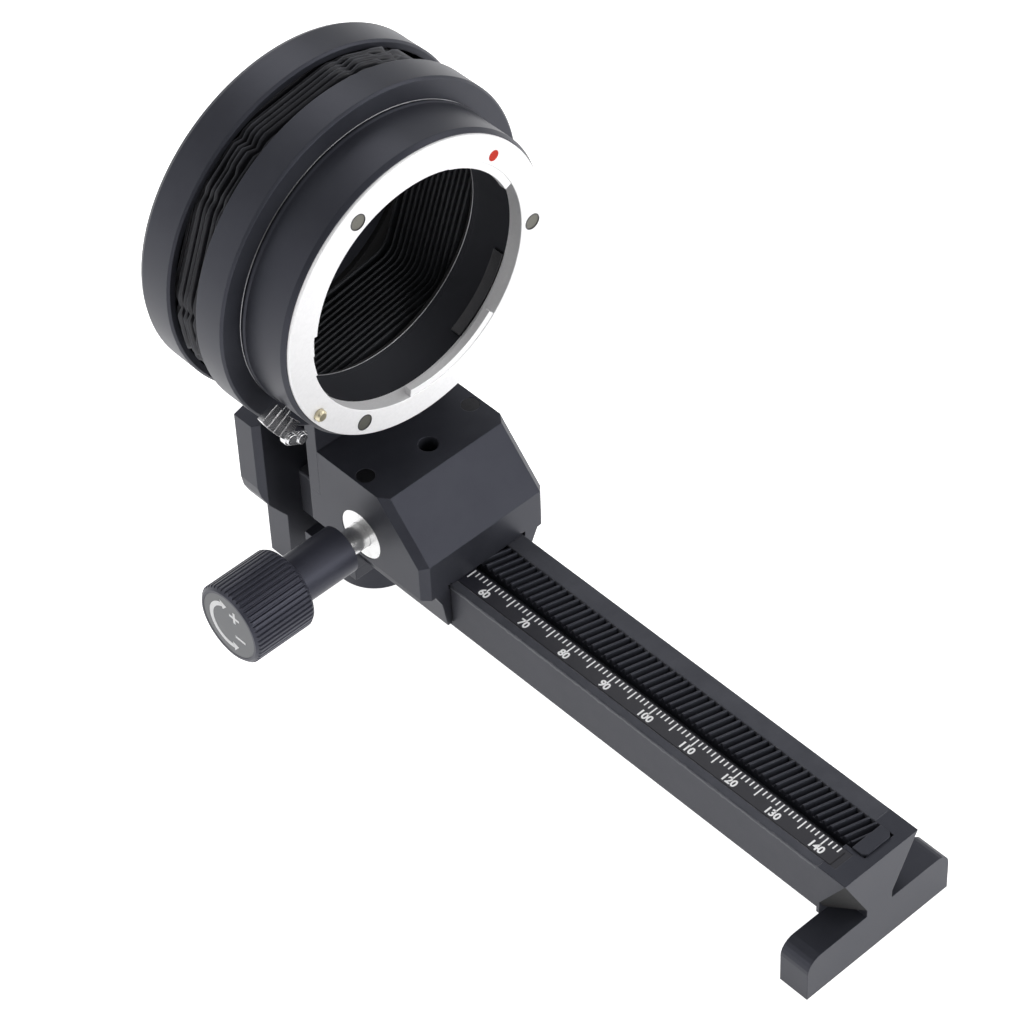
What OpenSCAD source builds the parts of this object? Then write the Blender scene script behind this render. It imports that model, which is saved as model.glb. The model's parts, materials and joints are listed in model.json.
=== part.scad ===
// Macro bellows: a geared rail that carries the camera end, and a carriage that holds the lens end.
// Millimetres, +Z up. The origin is the tripod socket, at the level that the object stands on.
// The lens looks along -Y and the camera sits at +Y. The focusing knob is on the -X side.

/* [Rail] */
// Width of the rail bar
rail_w = 17.3; // [16.5:0.1:19]
// Height of the rail bar
rail_h = 10.4; // [9.5:0.1:12]
// Height of the rail's underside above the table
rail_lift = 11.8; // [10.5:0.1:14]
// Distance from the tripod socket back to the front of the rear standard's leg
leg_front = 9.4; // [9.4:0.1:14]
// Furthest the rail slides through the carriage
travel = 88; // [60:1:100]
// Running clearance on each side of the rail
slide_gap = 0.05; // [0.03:0.01:0.1]
// Clearance above and below the rail
lift_gap = 0.1; // [0.05:0.01:0.15]

/* [Rack and pinion] */
// Tooth spacing measured along the rail
rack_pitch = 1.5708; // [1.5:0.0001:1.65]
// Slant of the rack's teeth
rack_slant = 15.5; // [0:0.5:18]
// Width of the rack
rack_w = 5.9; // [5:0.1:6.5]
// Thickness of the rack
rack_t = 2.6; // [2:0.1:3.2]
// Distance from the rail's middle to the middle of the rack
rack_x = 2.05; // [1.8:0.05:2.2]
// How far the rack runs on behind the pinion shaft
rack_reach = 10; // [8:0.5:13]
// Distance from the block's front face back to the pinion shaft
shaft_set = 16.5; // [15:0.1:17.5]
// Number of teeth on the pinion
pinion_teeth = 22; // [20:1:24]
// Height of a tooth above the pitch line
tooth_top = 0.5; // [0.4:0.01:0.52]
// Depth of a tooth space below the pitch line
tooth_root = 0.62; // [0.6:0.01:0.7]
// Play between the teeth, measured along the pitch line
tooth_play = 0.14; // [0.1:0.01:0.2]
// Width of the pinion's teeth
pinion_w = 2.8; // [2.2:0.1:3]
// Length of the pinion's hub
hub_l = 3; // [2.6:0.1:3.4]
// Radius of the pinion's hub
hub_r = 4.4; // [4:0.1:4.5]

/* [Scale] */
// Width of the scale strip
scale_w = 4.2; // [3.8:0.1:4.6]
// Thickness of the scale strip
scale_t = 0.5; // [0.4:0.05:0.8]
// Width of the dark groove between the scale and the rack
groove_w = 1.9; // [1.4:0.1:2]

/* [End foot] */
// Width across the end foot
foot_w = 34; // [28:0.5:40]
// Thickness of the end foot along the rail
foot_t = 6.2; // [5:0.1:8]
// Height of the end foot's arms
foot_h = 9.5; // [7:0.1:10.5]
// Radius of the arms' upper outer corners
foot_round = 3; // [1:0.5:4]
// Width of the end foot's neck where it meets the arms
neck_w = 6; // [5:0.5:9]

/* [Carriage] */
// Width of the carriage block
block_w = 29; // [28.5:0.5:33]
// Distance from the tripod socket to the block's rear face
block_rear = 1.2; // [1:0.1:1.6]
// Length of the block along the rail
block_l = 29.7; // [29:0.1:33]
// Height of the block above the rail
block_h = 18.2; // [17.5:0.1:21]
// Height of the block's upright nose above the rail
nose_h = 7.7; // [6.5:0.1:9]
// Length of the block's slope
slope_l = 9.3; // [8:0.1:11]
// Width of the bevels along the sides of the block's front and slope
block_bevel = 1.4; // [0.5:0.1:2]
// Depth of the jaws beside the rail
jaw_h = 9.4; // [8.5:0.1:10]
// Width across the jaws at their lower edge
jaw_w = 19.6; // [19.4:0.1:22]

/* [Tripod mount] */
// Radius of the tripod boss
boss_r = 8.1; // [7.5:0.1:9]
// Radius of the tripod socket
socket_r = 3.2; // [3.175:0.025:3.3]
// Length of the socket's thread
socket_l = 7; // [5:0.5:8]
// Thickness of the tripod plate
plate_t = 2.6; // [2:0.1:3]
// Width of the tripod plate
plate_w = 23.8; // [22.5:0.1:24.5]

/* [Lens end] */
// Height of the lens axis above the rail
axis_h = 56.4; // [54:0.1:60]
// Radius of both large rings
ring_r = 33.5; // [33.4:0.1:35.5]
// Thickness of the large rings' side walls
ring_wall = 1.5; // [1.2:0.1:1.8]
// Length of the front ring
front_ring_l = 6.5; // [5.5:0.1:7.5]
// Distance from the tripod socket to the front ring's front face
front_ring_y = 5.9; // [5.5:0.1:6.3]
// Thickness of the front ring's tongue
tongue_t = 2.8; // [2.2:0.1:3]
// Radius of the lens barrel
barrel_r = 29.3; // [28.8:0.1:30.2]
// Length of the lens barrel
barrel_l = 10.8; // [9.8:0.1:12]
// Step from the barrel's side in to the edge of the lens mount ring
mount_step = 0.7; // [0.6:0.05:1]
// Width of the lens mount ring's face
mount_w = 4.9; // [4.8:0.05:5]
// Thickness of the lens mount ring's flange
mount_t = 0.6; // [0.55:0.05:0.9]
// How far the lens mount ring's lugs reach in
lug_reach = 1.4; // [1:0.1:1.6]
// How far the lens lock pin slides back
lock_travel = 1.6; // [1.2:0.1:2]

/* [Camera end] */
// Length of the rear ring
rear_ring_l = 7.9; // [7:0.1:9]
// Distance from the tripod socket to the rear ring's front edge
rear_ring_y = 7.7; // [7.3:0.1:8.3]
// Thickness of the rear standard's leg
leg_t = 5.8; // [5:0.1:6.5]
// Width of the rear standard's shoulders
shoulder_w = 34.6; // [30:0.2:38]
// Width of the rear standard's leg
leg_w = 24.4; // [22:0.1:27]
// Radius of the camera mount's flange
camera_flange_r = 28.5; // [27.5:0.1:29]
// Radius of the camera mount's tube
camera_tube_r = 21.6; // [21:0.1:22]
// Radius over the camera mount's lugs
camera_lug_r = 23.6; // [23:0.1:24]
// Wall of the camera mount's tube
camera_tube_wall = 1.1; // [0.9:0.1:1.3]

/* [Bellows] */
// Number of folds
folds = 13; // [11:1:18]
// Turn of the six-sided folds about the axis
fold_turn = 9; // [0:1:20]
// Distance from the axis to the outside of the folds that lie inside the rings
fold_r = 29.2; // [28.6:0.1:29.2]
// How much further out the folds between the rings reach
fold_extra = 1.4; // [0:0.1:1.5]
// Depth of a fold inside the rings
fold_depth = 4.4; // [3.5:0.1:4.5]
// Distance through the cloth, measured across a fold
cloth_t = 1.3; // [1.1:0.1:1.4]
// Thickness of the frames at the bellows' ends
frame_t = 1; // [0.8:0.1:1.2]

/* [Knob] */
// Radius of the pinion shaft
shaft_r = 2.4; // [2.2:0.1:2.6]
// Running clearance round the shaft
shaft_gap = 0.05; // [0.03:0.01:0.1]
// Outer radius of the shaft bushes
bush_r = 5; // [4.6:0.1:5.4]
// Length of the shaft bushes
bush_l = 5; // [4:0.1:5.5]
// Bare shaft between the block and the knob
shaft_bare = 4.8; // [3.5:0.1:6]
// Radius of the knob's neck
knob_neck_r = 4.63; // [4.3:0.01:5.2]
// Length of the knob's neck
knob_neck_l = 12; // [10:0.1:16]
// Radius of the knob's ribbed head
knob_r = 7.8; // [7:0.1:9]
// Length of the knob's ribbed head
knob_l = 13.65; // [10:0.05:16]
// Number of ribs round the knob
knob_ribs = 48; // [36:1:56]
// Depth of the grooves between the knob's ribs
rib_depth = 0.35; // [0.2:0.05:0.4]

/* [Hidden] */
$fn = 96;
eps = 0.01;
press = 0.01;
air = 0.3;
through = 30;

// Levels
rail_top = rail_lift + rail_h;
axis_z = rail_top + axis_h;

// Carriage block
block_back = -block_rear;
block_front = block_back - block_l;
tongue_front = block_back - tongue_t;
seat_h = nose_h - 0.1;
channel_w = rail_w + 2 * slide_gap;
channel_play = 0.1;

// Rail, just long enough for its end foot to stop short of the block at full travel
end_gap = 0.4;
rail_end = block_front - end_gap - travel;
rail_l = leg_front - rail_end;

// Rack and pinion, in mesh at rest
pitch_r = pinion_teeth * rack_pitch / (2 * PI);
pitch_z = rail_top - tooth_top;
shaft_z = pitch_z + pitch_r;
shaft_y = block_front + shaft_set;
rack_left = rack_x - rack_w / 2;
rack_right = rack_x + rack_w / 2;
groove_left = rack_left - groove_w;
scale_left = groove_left - scale_w;
rack_back = shaft_y + rack_reach;
rack_teeth_end = rail_end - 1.4;
rack_stop = rail_end - 4.2;
rack_stop_h = 0.4;
rack_stop_w = 1;
strip_end = rail_end - 2.4;
bed_end = rack_back + 0.2;
gear_half = rack_pitch / 4 - tooth_play / 4;

// Lens end
ring_front = -front_ring_y;
ring_back = ring_front + front_ring_l;
ring_face_t = 1;
barrel_front = ring_front - barrel_l;
mount_front = barrel_front - mount_t;
mount_r = barrel_r - mount_step;
light_r = mount_r - mount_w;
lug_r = light_r - lug_reach;
standard_bore = light_r + 0.2;
spigot_r = light_r + 0.45;
spigot_l = 2.4;
barrel_bore = spigot_r + 0.05;
spring_l = 2.2;
mount_screw_r = 1.5;
mount_screw_shank = 0.75;
mount_screw_l = 4;
barrel_screw_depth = 4;
mount_screw_sink = 0.4;
mount_screws = [[mount_r - 3.55, 118], [mount_r - 2.4, -4.5], [mount_r - 2.5, 238]];
dot_angle = 44.5;
dot_r = 1.05;
dot_at = mount_r - 3.2;
dot_sink = 0.3;
lug_set_back = 0.15;
lug_t = 1.4;
lug_spans = [[23, 68, 0], [68, 171, 0.12], [171, 181, 0.75], [181, 192, 1], [262, 314, 0]];
pin_angle = 210;
pin_at = mount_r - 1.6;
pin_r = 1.1;
pin_out = 1;
pin_gap = 0.05;

// Release lever, on the side of the barrel behind the lock pin
lever_at = barrel_r + 4.8;
lever_in = barrel_r + 0.9;
lever_from = 203.5;
lever_to = 218.5;
lever_grooves = 3;
lever_groove_w = 0.3;
lever_screws = [[lever_at - 0.6, lever_to + 1.6], [lever_at - 1.4, lever_to + 5.8]];
lever_screw_r = 0.6;
lever_ear_r = 1.35;
lever_stem_r = 1.4;
slot_side = 1.9;
spring_pocket_r = 1.6;

// Bellows
fold_sides = 6;
inner_cut = 2.5;
outer_cut = 11;
frame_hole_r = fold_r - fold_depth - cloth_t + 0.9;
frame_front = ring_front + ring_face_t;
bellows_front = frame_front + frame_t;
rear_wall_t = 1.6;
rear_back = rear_ring_y + rear_ring_l;
rear_wall_front = rear_back - rear_wall_t;
rear_frame_front = rear_wall_front - frame_t;
bellows_back = rear_frame_front - air;

// Camera end
leg_back = leg_front + leg_t;
leg_bevel = 1.2;
shoulder_top = axis_z - ring_r - 6.9;
shoulder_step = (shoulder_w - leg_w) / 2;
camera_flange_t = 1.6;
camera_face = rear_back + camera_flange_t;
camera_tube_l = 3.8;
camera_lug_t = 1.3;
camera_screw_at = camera_flange_r - 2.9;
camera_screw_shank = 0.75;
camera_screw_sink = 0.6;
camera_screw_l = camera_flange_t - camera_screw_sink + 0.8;
camera_lug_spans = [[-25, 35], [95, 145], [205, 265]];

// Shaft and knob
bush_out = block_w / 2;
bush_in = bush_out - bush_l;
neck_start = -(bush_out + shaft_bare);
head_start = neck_start - knob_neck_l;
knob_end = head_start - knob_l;
shaft_end = head_start - 6;
clip_x = bush_in - 2.2;
clip_t = 0.5;
clip_r = shaft_r + 1.1;
clip_cut = 0.4;
washer_t = 0.5;
cavity_r = pitch_r + tooth_top + 0.9;

// Small hardware
screw_r = 1.45;
screw_head_r = 2.6;
screw_head_h = 1.6;
socket_flat = 1.25;
small_screw_r = 0.85;
small_head_r = 1.5;

// Places a child's XY plane square to the lens axis, with its height pointing forward
module lens_frame(y) {
    translate([0, y, axis_z]) rotate([90, 0, 0]) children();
}

// A ring round the lens axis, from y0 back to y1
module lens_ring(y0, y1, outer, inner) {
    lens_frame(y1) difference() {
        cylinder(h = y1 - y0, r = outer);
        translate([0, 0, -1]) cylinder(h = y1 - y0 + 2, r = inner);
    }
}

// A wedge of the plane between two angles
module wedge(a0, a1, r) {
    steps = 8;
    polygon(concat([[0, 0]], [for (i = [0:steps]) let (a = a0 + (a1 - a0) * i / steps) r * [cos(a), sin(a)]]));
}

// Part of a ring between two angles
module ring_sector(y0, y1, outer, inner, a0, a1) {
    intersection() {
        lens_ring(y0, y1, outer, inner);
        lens_frame(y1 + 1) linear_extrude(y1 - y0 + 2) wedge(a0, a1, outer * 1.3);
    }
}

// A straight round bar or hole along X
module bar_x(x0, x1, r, y = shaft_y, z = shaft_z) {
    translate([x0, y, z]) rotate([0, 90, 0]) cylinder(h = x1 - x0, r = r, $fn = 64);
}

// A straight round bar or hole along Y
module bar_y(x, z, y0, y1, r) {
    translate([x, y1, z]) rotate([90, 0, 0]) cylinder(h = y1 - y0, r = r, $fn = 48);
}

// A straight round bar or hole along Z
module bar_z(x, y, z0, z1, r) {
    translate([x, y, z0]) cylinder(h = z1 - z0, r = r, $fn = 48);
}

// A box given by its two opposite corners
module span(a, b) {
    translate(a) cube(b - a);
}

// A cap screw along Z, its head from 0 up to head_h and its shank below
module cap_screw(shank_l, r = screw_r, head_r = screw_head_r, head_h = screw_head_h, key = socket_flat) {
    difference() {
        union() {
            translate([0, 0, -shank_l]) cylinder(h = shank_l + eps, r = r, $fn = 48);
            cylinder(h = head_h, r = head_r, $fn = 48);
        }
        translate([0, 0, head_h * 0.45]) cylinder(h = head_h, r = key / cos(30), $fn = 6);
    }
}

// A screw along Z with a plain flat head
module plain_screw(shank_l, r, head_r, head_h) {
    translate([0, 0, -shank_l]) cylinder(h = shank_l + eps, r = r, $fn = 32);
    cylinder(h = head_h - 0.05, r = head_r, $fn = 48);
    translate([0, 0, head_h - 0.05 - eps]) cylinder(h = 0.05 + eps, r1 = head_r, r2 = head_r - 0.08, $fn = 48);
}

// A flat round screw head along Z with a cross cut in its face
module cross_screw(shank_l, r, head_r, head_h) {
    difference() {
        union() {
            translate([0, 0, -shank_l]) cylinder(h = shank_l + eps, r = r, $fn = 48);
            cylinder(h = head_h, r = head_r, $fn = 48);
        }
        for (turn = [0, 90]) {
            rotate([0, 0, turn]) translate([-head_r * 0.6, -head_r * 0.12, head_h * 0.5])
                cube([head_r * 1.2, head_r * 0.24, head_h]);
        }
    }
}

// Outline of the block seen from the side, in Y and Z
module block_side() {
    top = rail_top + block_h;
    polygon([
        [block_back, rail_top - 0.5],
        [block_back, rail_top + seat_h],
        [tongue_front, rail_top + seat_h],
        [tongue_front, top],
        [block_front + slope_l, top],
        [block_front, rail_top + nose_h],
        [block_front, rail_top - 0.5]
    ]);
}

// Outline of the jaws seen from the front, in X and Z
module jaw_front() {
    shoulder = block_w / 2 - 2.3;
    polygon([
        [-block_w / 2, rail_top - 0.5],
        [-shoulder, rail_top - 0.6],
        [-shoulder + 1.4, rail_top - 3.4],
        [-jaw_w / 2, rail_top - jaw_h],
        [jaw_w / 2, rail_top - jaw_h],
        [shoulder - 1.4, rail_top - 3.4],
        [shoulder, rail_top - 0.6],
        [block_w / 2, rail_top - 0.5],
        [block_w / 2, rail_top],
        [-block_w / 2, rail_top]
    ]);
}

// Thick lower corners of the block, which take the tripod plate's screws
plate_top = rail_lift - lift_gap;
pad_foot_y = -8.6;
plate_screw_x = 10.35;
plate_screw_y = [-6.6, -3.2];
plate_screw_hold = 4.2;
plate_screw_sink = 1.1;

// Outline of the block seen from above, with bevelled front corners
module block_plan() {
    half = block_w / 2;
    polygon([
        [-half, block_back],
        [-half, block_front + block_bevel],
        [-half + block_bevel, block_front],
        [half - block_bevel, block_front],
        [half, block_front + block_bevel],
        [half, block_back]
    ]);
}

// Waste along one side of the slope, cut away to leave its bevel
module slope_bevel(side) {
    rise = block_h - nose_h;
    run = norm([rise, slope_l]) + 4 * block_bevel;
    translate([side * block_w / 2, block_front, rail_top + nose_h]) rotate([atan2(rise, slope_l), 0, 0])
        rotate([-90, 0, 0]) translate([0, 0, -block_bevel]) linear_extrude(run)
            polygon([[-side * block_bevel, 0], [side, -block_bevel - 1], [side, block_bevel + 1]]);
}

module carriage_block() {
    color([0.13, 0.135, 0.15]) difference() {
        union() {
            intersection() {
                rotate([90, 0, 90]) translate([0, 0, -block_w / 2]) linear_extrude(block_w) block_side();
                translate([0, 0, rail_top - 1]) linear_extrude(block_h + 2) block_plan();
            }
            intersection() {
                translate([0, block_back, 0]) rotate([90, 0, 0]) linear_extrude(block_l) jaw_front();
                linear_extrude(rail_top) block_plan();
            }
            span([-plate_w / 2, pad_foot_y, plate_top], [plate_w / 2, block_back, rail_top]);
        }
        for (side = [-1, 1]) slope_bevel(side);
        // Channel for the rail, wider than the guide pads that the rail runs on
        span([-channel_w / 2 - channel_play, block_front - 1, 0],
             [channel_w / 2 + channel_play, 1, rail_top + lift_gap]);
        // Relief along the channel's upper corners
        for (side = [-1, 1]) {
            span([side * channel_w / 2 - 0.5, block_front - 1, rail_top - 0.6],
                 [side * channel_w / 2 + 0.5, 1, rail_top + 0.5]);
            guide_pad(side);
        }
        // Room for the pinion, its washer and its clip
        bar_x(-bush_in, bush_in, cavity_r);
        // Bores for the bushes
        bar_x(-block_w, -bush_in + 1, bush_r + press);
        bar_x(bush_in - 1, block_w, bush_r + press);
        // Hole through which a key reaches the pinion's screw
        bar_z(access_x, shaft_y - 2, shaft_z, rail_top + block_h + 1, access_r);
        // Holes for the screws that press on the right-hand guide pad
        for (y = gib_screw_y) bar_x(channel_w / 2 + pad_t - 0.1, block_w, gib_screw_r + press, y, gib_z);
        // Holes for the pins that hold the bushes
        for (side = [-1, 1]) {
            bar_z(side * bush_pin_x, shaft_y, shaft_z, rail_top + block_h + 1, bush_pin_r + press);
        }
        // Threaded holes for the front standard's screws
        for (x = tongue_screw_x) {
            bar_y(x, tongue_screw_z, tongue_front - tongue_screw_l - 1, tongue_front + 1, screw_r + press);
        }
        // Threaded holes for the tripod plate's screws
        for (side = [-1, 1]) for (y = plate_screw_y) {
            bar_z(side * plate_screw_x, y, plate_top - 1, plate_top + plate_screw_hold, small_screw_r + press);
        }
    }
}

// Plastic pads let into the channel's sides, which the rail runs between
pad_t = 0.8;
pad_inset = block_l / 12;
pad_low = rail_top - 5.2;
pad_high = rail_top - 1.6;

module guide_pad(side) {
    inner = channel_w / 2;
    outer = inner + pad_t;
    x0 = side < 0 ? -outer : inner;
    span([x0, block_front + pad_inset, pad_low], [x0 + pad_t, block_back - pad_inset, pad_high]);
}

module guide_pads() {
    color([0.85, 0.85, 0.82]) for (side = [-1, 1]) guide_pad(side);
}

// Small screws in the right-hand jaw, which press its guide pad on the rail so that the rail stays put
gib_z = (pad_low + pad_high) / 2 + 0.6;
gib_screw_y = [block_front + block_l * 0.24, block_back - block_l * 0.27];
gib_screw_r = 1;
gib_screw_l = 1.3;

module gib_screws() {
    inner = channel_w / 2 + pad_t;
    color([0.16, 0.16, 0.17]) for (y = gib_screw_y) difference() {
        bar_x(inner, inner + gib_screw_l, gib_screw_r, y, gib_z);
        translate([inner + gib_screw_l - 0.6, y, gib_z]) rotate([0, 90, 0]) cylinder(h = 1, r = 0.5, $fn = 6);
    }
}

access_x = 0.5;
access_r = 1.85;
bush_pin_x = bush_out - 2.15;
bush_pin_r = 1.7;

// Pins pressed through the block's top, flush with it, that hold the bushes
module bush_pins() {
    low = shaft_z + bush_r + 0.02;
    top = rail_top + block_h - 0.04;
    color([0.16, 0.16, 0.17]) for (side = [-1, 1]) bar_z(side * bush_pin_x, shaft_y, low, top, bush_pin_r);
}

// Plate under the rail that closes the carriage and carries the tripod boss
plate_bottom = plate_top - plate_t;
plate_screw_l = plate_t - plate_screw_sink + plate_screw_hold - 1.3;
plate_back = boss_r + 0.2 - 1.2;

module tripod_plate() {
    color([0.12, 0.125, 0.14]) difference() {
        union() {
            span([-plate_w / 2, pad_foot_y, plate_bottom], [plate_w / 2, plate_back - 2, plate_top]);
            bar_z(0, 0, 0, plate_bottom + eps, boss_r);
        }
        bar_z(0, 0, -1, plate_top + 1, insert_r + press);
        for (side = [-1, 1]) for (y = plate_screw_y) {
            bar_z(side * plate_screw_x, y, -1, plate_top + 1, small_screw_r + press);
            bar_z(side * plate_screw_x, y, -1, plate_bottom + plate_screw_sink, small_head_r + press);
        }
    }
}

// Metal bush in the boss, with the tripod thread
insert_r = 5;

module tripod_insert() {
    color([0.72, 0.66, 0.45]) difference() {
        bar_z(0, 0, 0, plate_top - 0.6, insert_r);
        bar_z(0, 0, -1, socket_l, socket_r);
    }
}

module tripod_plate_screws() {
    color([0.2, 0.2, 0.21]) for (side = [-1, 1]) for (y = plate_screw_y) {
        translate([side * plate_screw_x, y, plate_bottom + plate_screw_sink]) rotate([180, 0, 0])
            cross_screw(plate_screw_l, small_screw_r, small_head_r, plate_screw_sink - 0.1);
    }
}

// Front standard: a cup-shaped ring with a flat tongue that is screwed to the back of the block
tongue_screw_x = [-9.5, 9.5];
tongue_screw_z = rail_top + block_h * 0.7;
tongue_screw_l = 6;

module front_standard() {
    color([0.13, 0.135, 0.15]) difference() {
        union() {
            lens_frame(ring_back) rotate_extrude() polygon([
                [standard_bore, front_ring_l],
                [ring_r - 0.4, front_ring_l],
                [ring_r, front_ring_l - 0.4],
                [ring_r, 0.1],
                [ring_r - 0.1, 0],
                [ring_r - ring_wall, 0],
                [ring_r - ring_wall, front_ring_l - ring_face_t],
                [standard_bore, front_ring_l - ring_face_t]
            ]);
            translate([0, block_back, 0]) rotate([90, 0, 0]) linear_extrude(tongue_t) difference() {
                translate([-block_w / 2, rail_top + seat_h]) square([block_w, axis_h - ring_r + 8 - seat_h]);
                translate([0, axis_z]) circle(r = ring_r - ring_wall + eps, $fn = 96);
            }
        }
        for (x = tongue_screw_x) {
            bar_y(x, tongue_screw_z, tongue_front - 1, block_back + 1, screw_r + press);
            bar_y(x, tongue_screw_z, block_back - screw_head_h - 0.1, block_back + 1, screw_head_r + press);
        }
        // Holes for the screws that hold the barrel from behind
        for (a = barrel_screw_angles) lens_frame(ring_back) rotate([0, 0, a])
            translate([barrel_screw_at, 0, 0]) cylinder(h = front_ring_l + 1, r = barrel_screw_r, $fn = 32);
    }
}

module front_standard_screws() {
    color([0.2, 0.2, 0.21]) for (x = tongue_screw_x) {
        translate([x, block_back - screw_head_h, tongue_screw_z]) rotate([-90, 0, 0]) cap_screw(tongue_screw_l);
    }
}

// Barrel between the front ring and the lens mount, with a slot for the release lever
barrel_screw_angles = [60, 150, 330];
barrel_screw_at = mount_r - 1.8;
barrel_screw_r = 0.8;
barrel_lip_r = barrel_r + 0.2;

module front_barrel() {
    color([0.12, 0.125, 0.14]) difference() {
        lens_frame(ring_front) rotate_extrude() polygon([
            [standard_bore, 0],
            [barrel_lip_r - 0.3, 0],
            [barrel_lip_r - 0.3, 0.3],
            [barrel_lip_r, 0.5],
            [barrel_lip_r, 0.8],
            [barrel_r, 1.2],
            [barrel_r, barrel_l - 0.8],
            [barrel_r - 0.55, barrel_l],
            [barrel_bore, barrel_l],
            [barrel_bore, barrel_l - spigot_l - 0.1],
            [standard_bore, barrel_l - spigot_l - 0.1]
        ]);
        for (a = barrel_screw_angles) lens_frame(ring_front + 1) rotate([0, 0, a])
            translate([barrel_screw_at, 0, 0]) cylinder(h = 1 + barrel_screw_depth, r = barrel_screw_r, $fn = 32);
        for (m = mount_screws) lens_frame(barrel_front + mount_screw_l) rotate([0, 0, m[1]])
            translate([m[0], 0, 0]) cylinder(h = through, r = mount_screw_shank + press, $fn = 32);
        // Guide hole of the lock pin and the pocket of its spring
        lens_frame(ring_front) rotate([0, 0, pin_angle]) translate([pin_at, 0, 0]) {
            translate([0, 0, lock_cavity]) cylinder(h = barrel_l, r = pin_r + pin_gap, $fn = 48);
            translate([0, 0, pocket_floor])
                cylinder(h = lock_cavity - pocket_floor + eps, r = spring_pocket_r, $fn = 48);
        }
        // Slot that lets the lever's stem out through the side
        lens_frame(ring_front) rotate([0, 0, pin_angle]) translate([pin_at, -slot_side, slot_low])
            cube([through, 2 * slot_side, slot_high - slot_low]);
    }
}

// Forward distances inside the barrel, measured from the front ring's face
pocket_floor = 1.2;
lock_cavity = 6.6;
collar_high = 5.9;
collar_low = collar_high - 1.2;
slot_low = collar_low - lock_travel - 0.5;
slot_high = collar_high + 0.2;

// Brass lock pin with a collar that the lever's stem and the spring push on
module lens_lock_pin() {
    color([0.83, 0.72, 0.45]) lens_frame(ring_front) rotate([0, 0, pin_angle]) translate([pin_at, 0, 0]) {
        translate([0, 0, collar_low]) cylinder(h = pin_top - 0.3 - collar_low, r = pin_r, $fn = 48);
        translate([0, 0, pin_top - 0.3 - eps]) cylinder(h = 0.3 + eps, r1 = pin_r, r2 = pin_r - 0.3, $fn = 48);
    }
}

pin_top = barrel_l + mount_t + pin_out;

// Lever outside the barrel, with a stem that reaches in and holds the pin
module release_lever() {
    lever_t = collar_high - collar_low;
    color([0.85, 0.86, 0.88]) lens_frame(ring_front) difference() {
        translate([0, 0, collar_low]) linear_extrude(lever_t) union() {
            intersection() {
                difference() {
                    circle(r = lever_at, $fn = 120);
                    circle(r = lever_in, $fn = 120);
                }
                wedge(lever_from, lever_to + 1, lever_at * 1.2);
            }
            // Stem through the barrel's slot
            rotate(pin_angle) translate([pin_at, -1.2]) square([lever_in + 0.4 - pin_at, 2.4]);
            rotate(pin_angle) translate([pin_at, 0]) circle(r = lever_stem_r, $fn = 48);
            // Ear for the small screws
            hull() for (m = lever_screws) rotate(m[1]) translate([m[0], 0]) circle(r = lever_ear_r, $fn = 32);
        }
        // Fine grooves across the face that the thumb pushes
        for (i = [1:lever_grooves]) {
            a = lever_from + (lever_to - lever_from) * i / (lever_grooves + 1);
            rotate([0, 0, a]) translate([lever_in - 1, -lever_groove_w / 2, collar_high - 0.15])
                cube([through, lever_groove_w, 1]);
        }
        rotate([0, 0, pin_angle]) translate([pin_at, 0, -1]) cylinder(h = through, r = pin_r + press, $fn = 48);
        for (m = lever_screws) rotate([0, 0, m[1]]) translate([m[0], 0, -1])
            cylinder(h = through, r = lever_screw_r + press, $fn = 32);
    }
}

module release_screws() {
    color([0.82, 0.83, 0.85]) for (m = lever_screws) lens_frame(ring_front) rotate([0, 0, m[1]])
        translate([m[0], 0, collar_high]) plain_screw(1.4, lever_screw_r, 1.05, 0.5);
}

// Spring that pushes the lock pin forward
module lock_spring() {
    base = pocket_floor + 0.05;
    color([0.7, 0.7, 0.72]) lens_frame(ring_front) rotate([0, 0, pin_angle]) translate([pin_at, 0, base])
        difference() {
            cylinder(h = collar_low - 0.05 - base, r = spring_pocket_r - 0.25, $fn = 32);
            translate([0, 0, -1]) cylinder(h = through, r = pin_r - 0.15, $fn = 32);
        }
}

// Lens mount: a thin flange and a spigot, with lugs set a little behind the face
module lens_mount_ring() {
    color([0.9, 0.9, 0.91]) difference() {
        union() {
            lens_frame(barrel_front) rotate_extrude() polygon([
                [light_r, -spigot_l],
                [spigot_r, -spigot_l],
                [spigot_r, 0],
                [mount_r, 0],
                [mount_r, mount_t - 0.15],
                [mount_r - 0.15, mount_t],
                [light_r + 0.08, mount_t],
                [light_r, mount_t - 0.08]
            ]);
            for (s = lug_spans) {
                ring_sector(mount_front + lug_set_back, mount_front + lug_set_back + lug_t,
                            light_r + 0.1, lug_r + s[2], s[0], s[1]);
            }
        }
        for (m = mount_screws) lens_frame(barrel_front) rotate([0, 0, m[1]]) translate([m[0], 0, 0]) {
            translate([0, 0, -mount_screw_l]) cylinder(h = through, r = mount_screw_shank + press, $fn = 32);
            translate([0, 0, mount_t - mount_screw_sink]) cylinder(h = 1, r = mount_screw_r + press, $fn = 48);
        }
        lens_frame(barrel_front) rotate([0, 0, dot_angle]) translate([dot_at, 0, mount_t - dot_sink])
            cylinder(h = 1, r = dot_r + press, $fn = 48);
        lens_frame(barrel_front) rotate([0, 0, pin_angle]) translate([pin_at, 0, -1])
            cylinder(h = 3, r = pin_r + pin_gap, $fn = 48);
    }
}

module lens_mount_screws() {
    color([0.55, 0.54, 0.52]) for (m = mount_screws) lens_frame(barrel_front) rotate([0, 0, m[1]])
        translate([m[0], 0, mount_t - mount_screw_sink])
            plain_screw(mount_screw_l, mount_screw_shank, mount_screw_r, mount_screw_sink - 0.03);
}

module index_dot() {
    color([0.85, 0.16, 0.1]) lens_frame(barrel_front) rotate([0, 0, dot_angle])
        translate([dot_at, 0, mount_t - dot_sink]) cylinder(h = dot_sink + 0.03, r = dot_r, $fn = 48);
}

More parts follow.
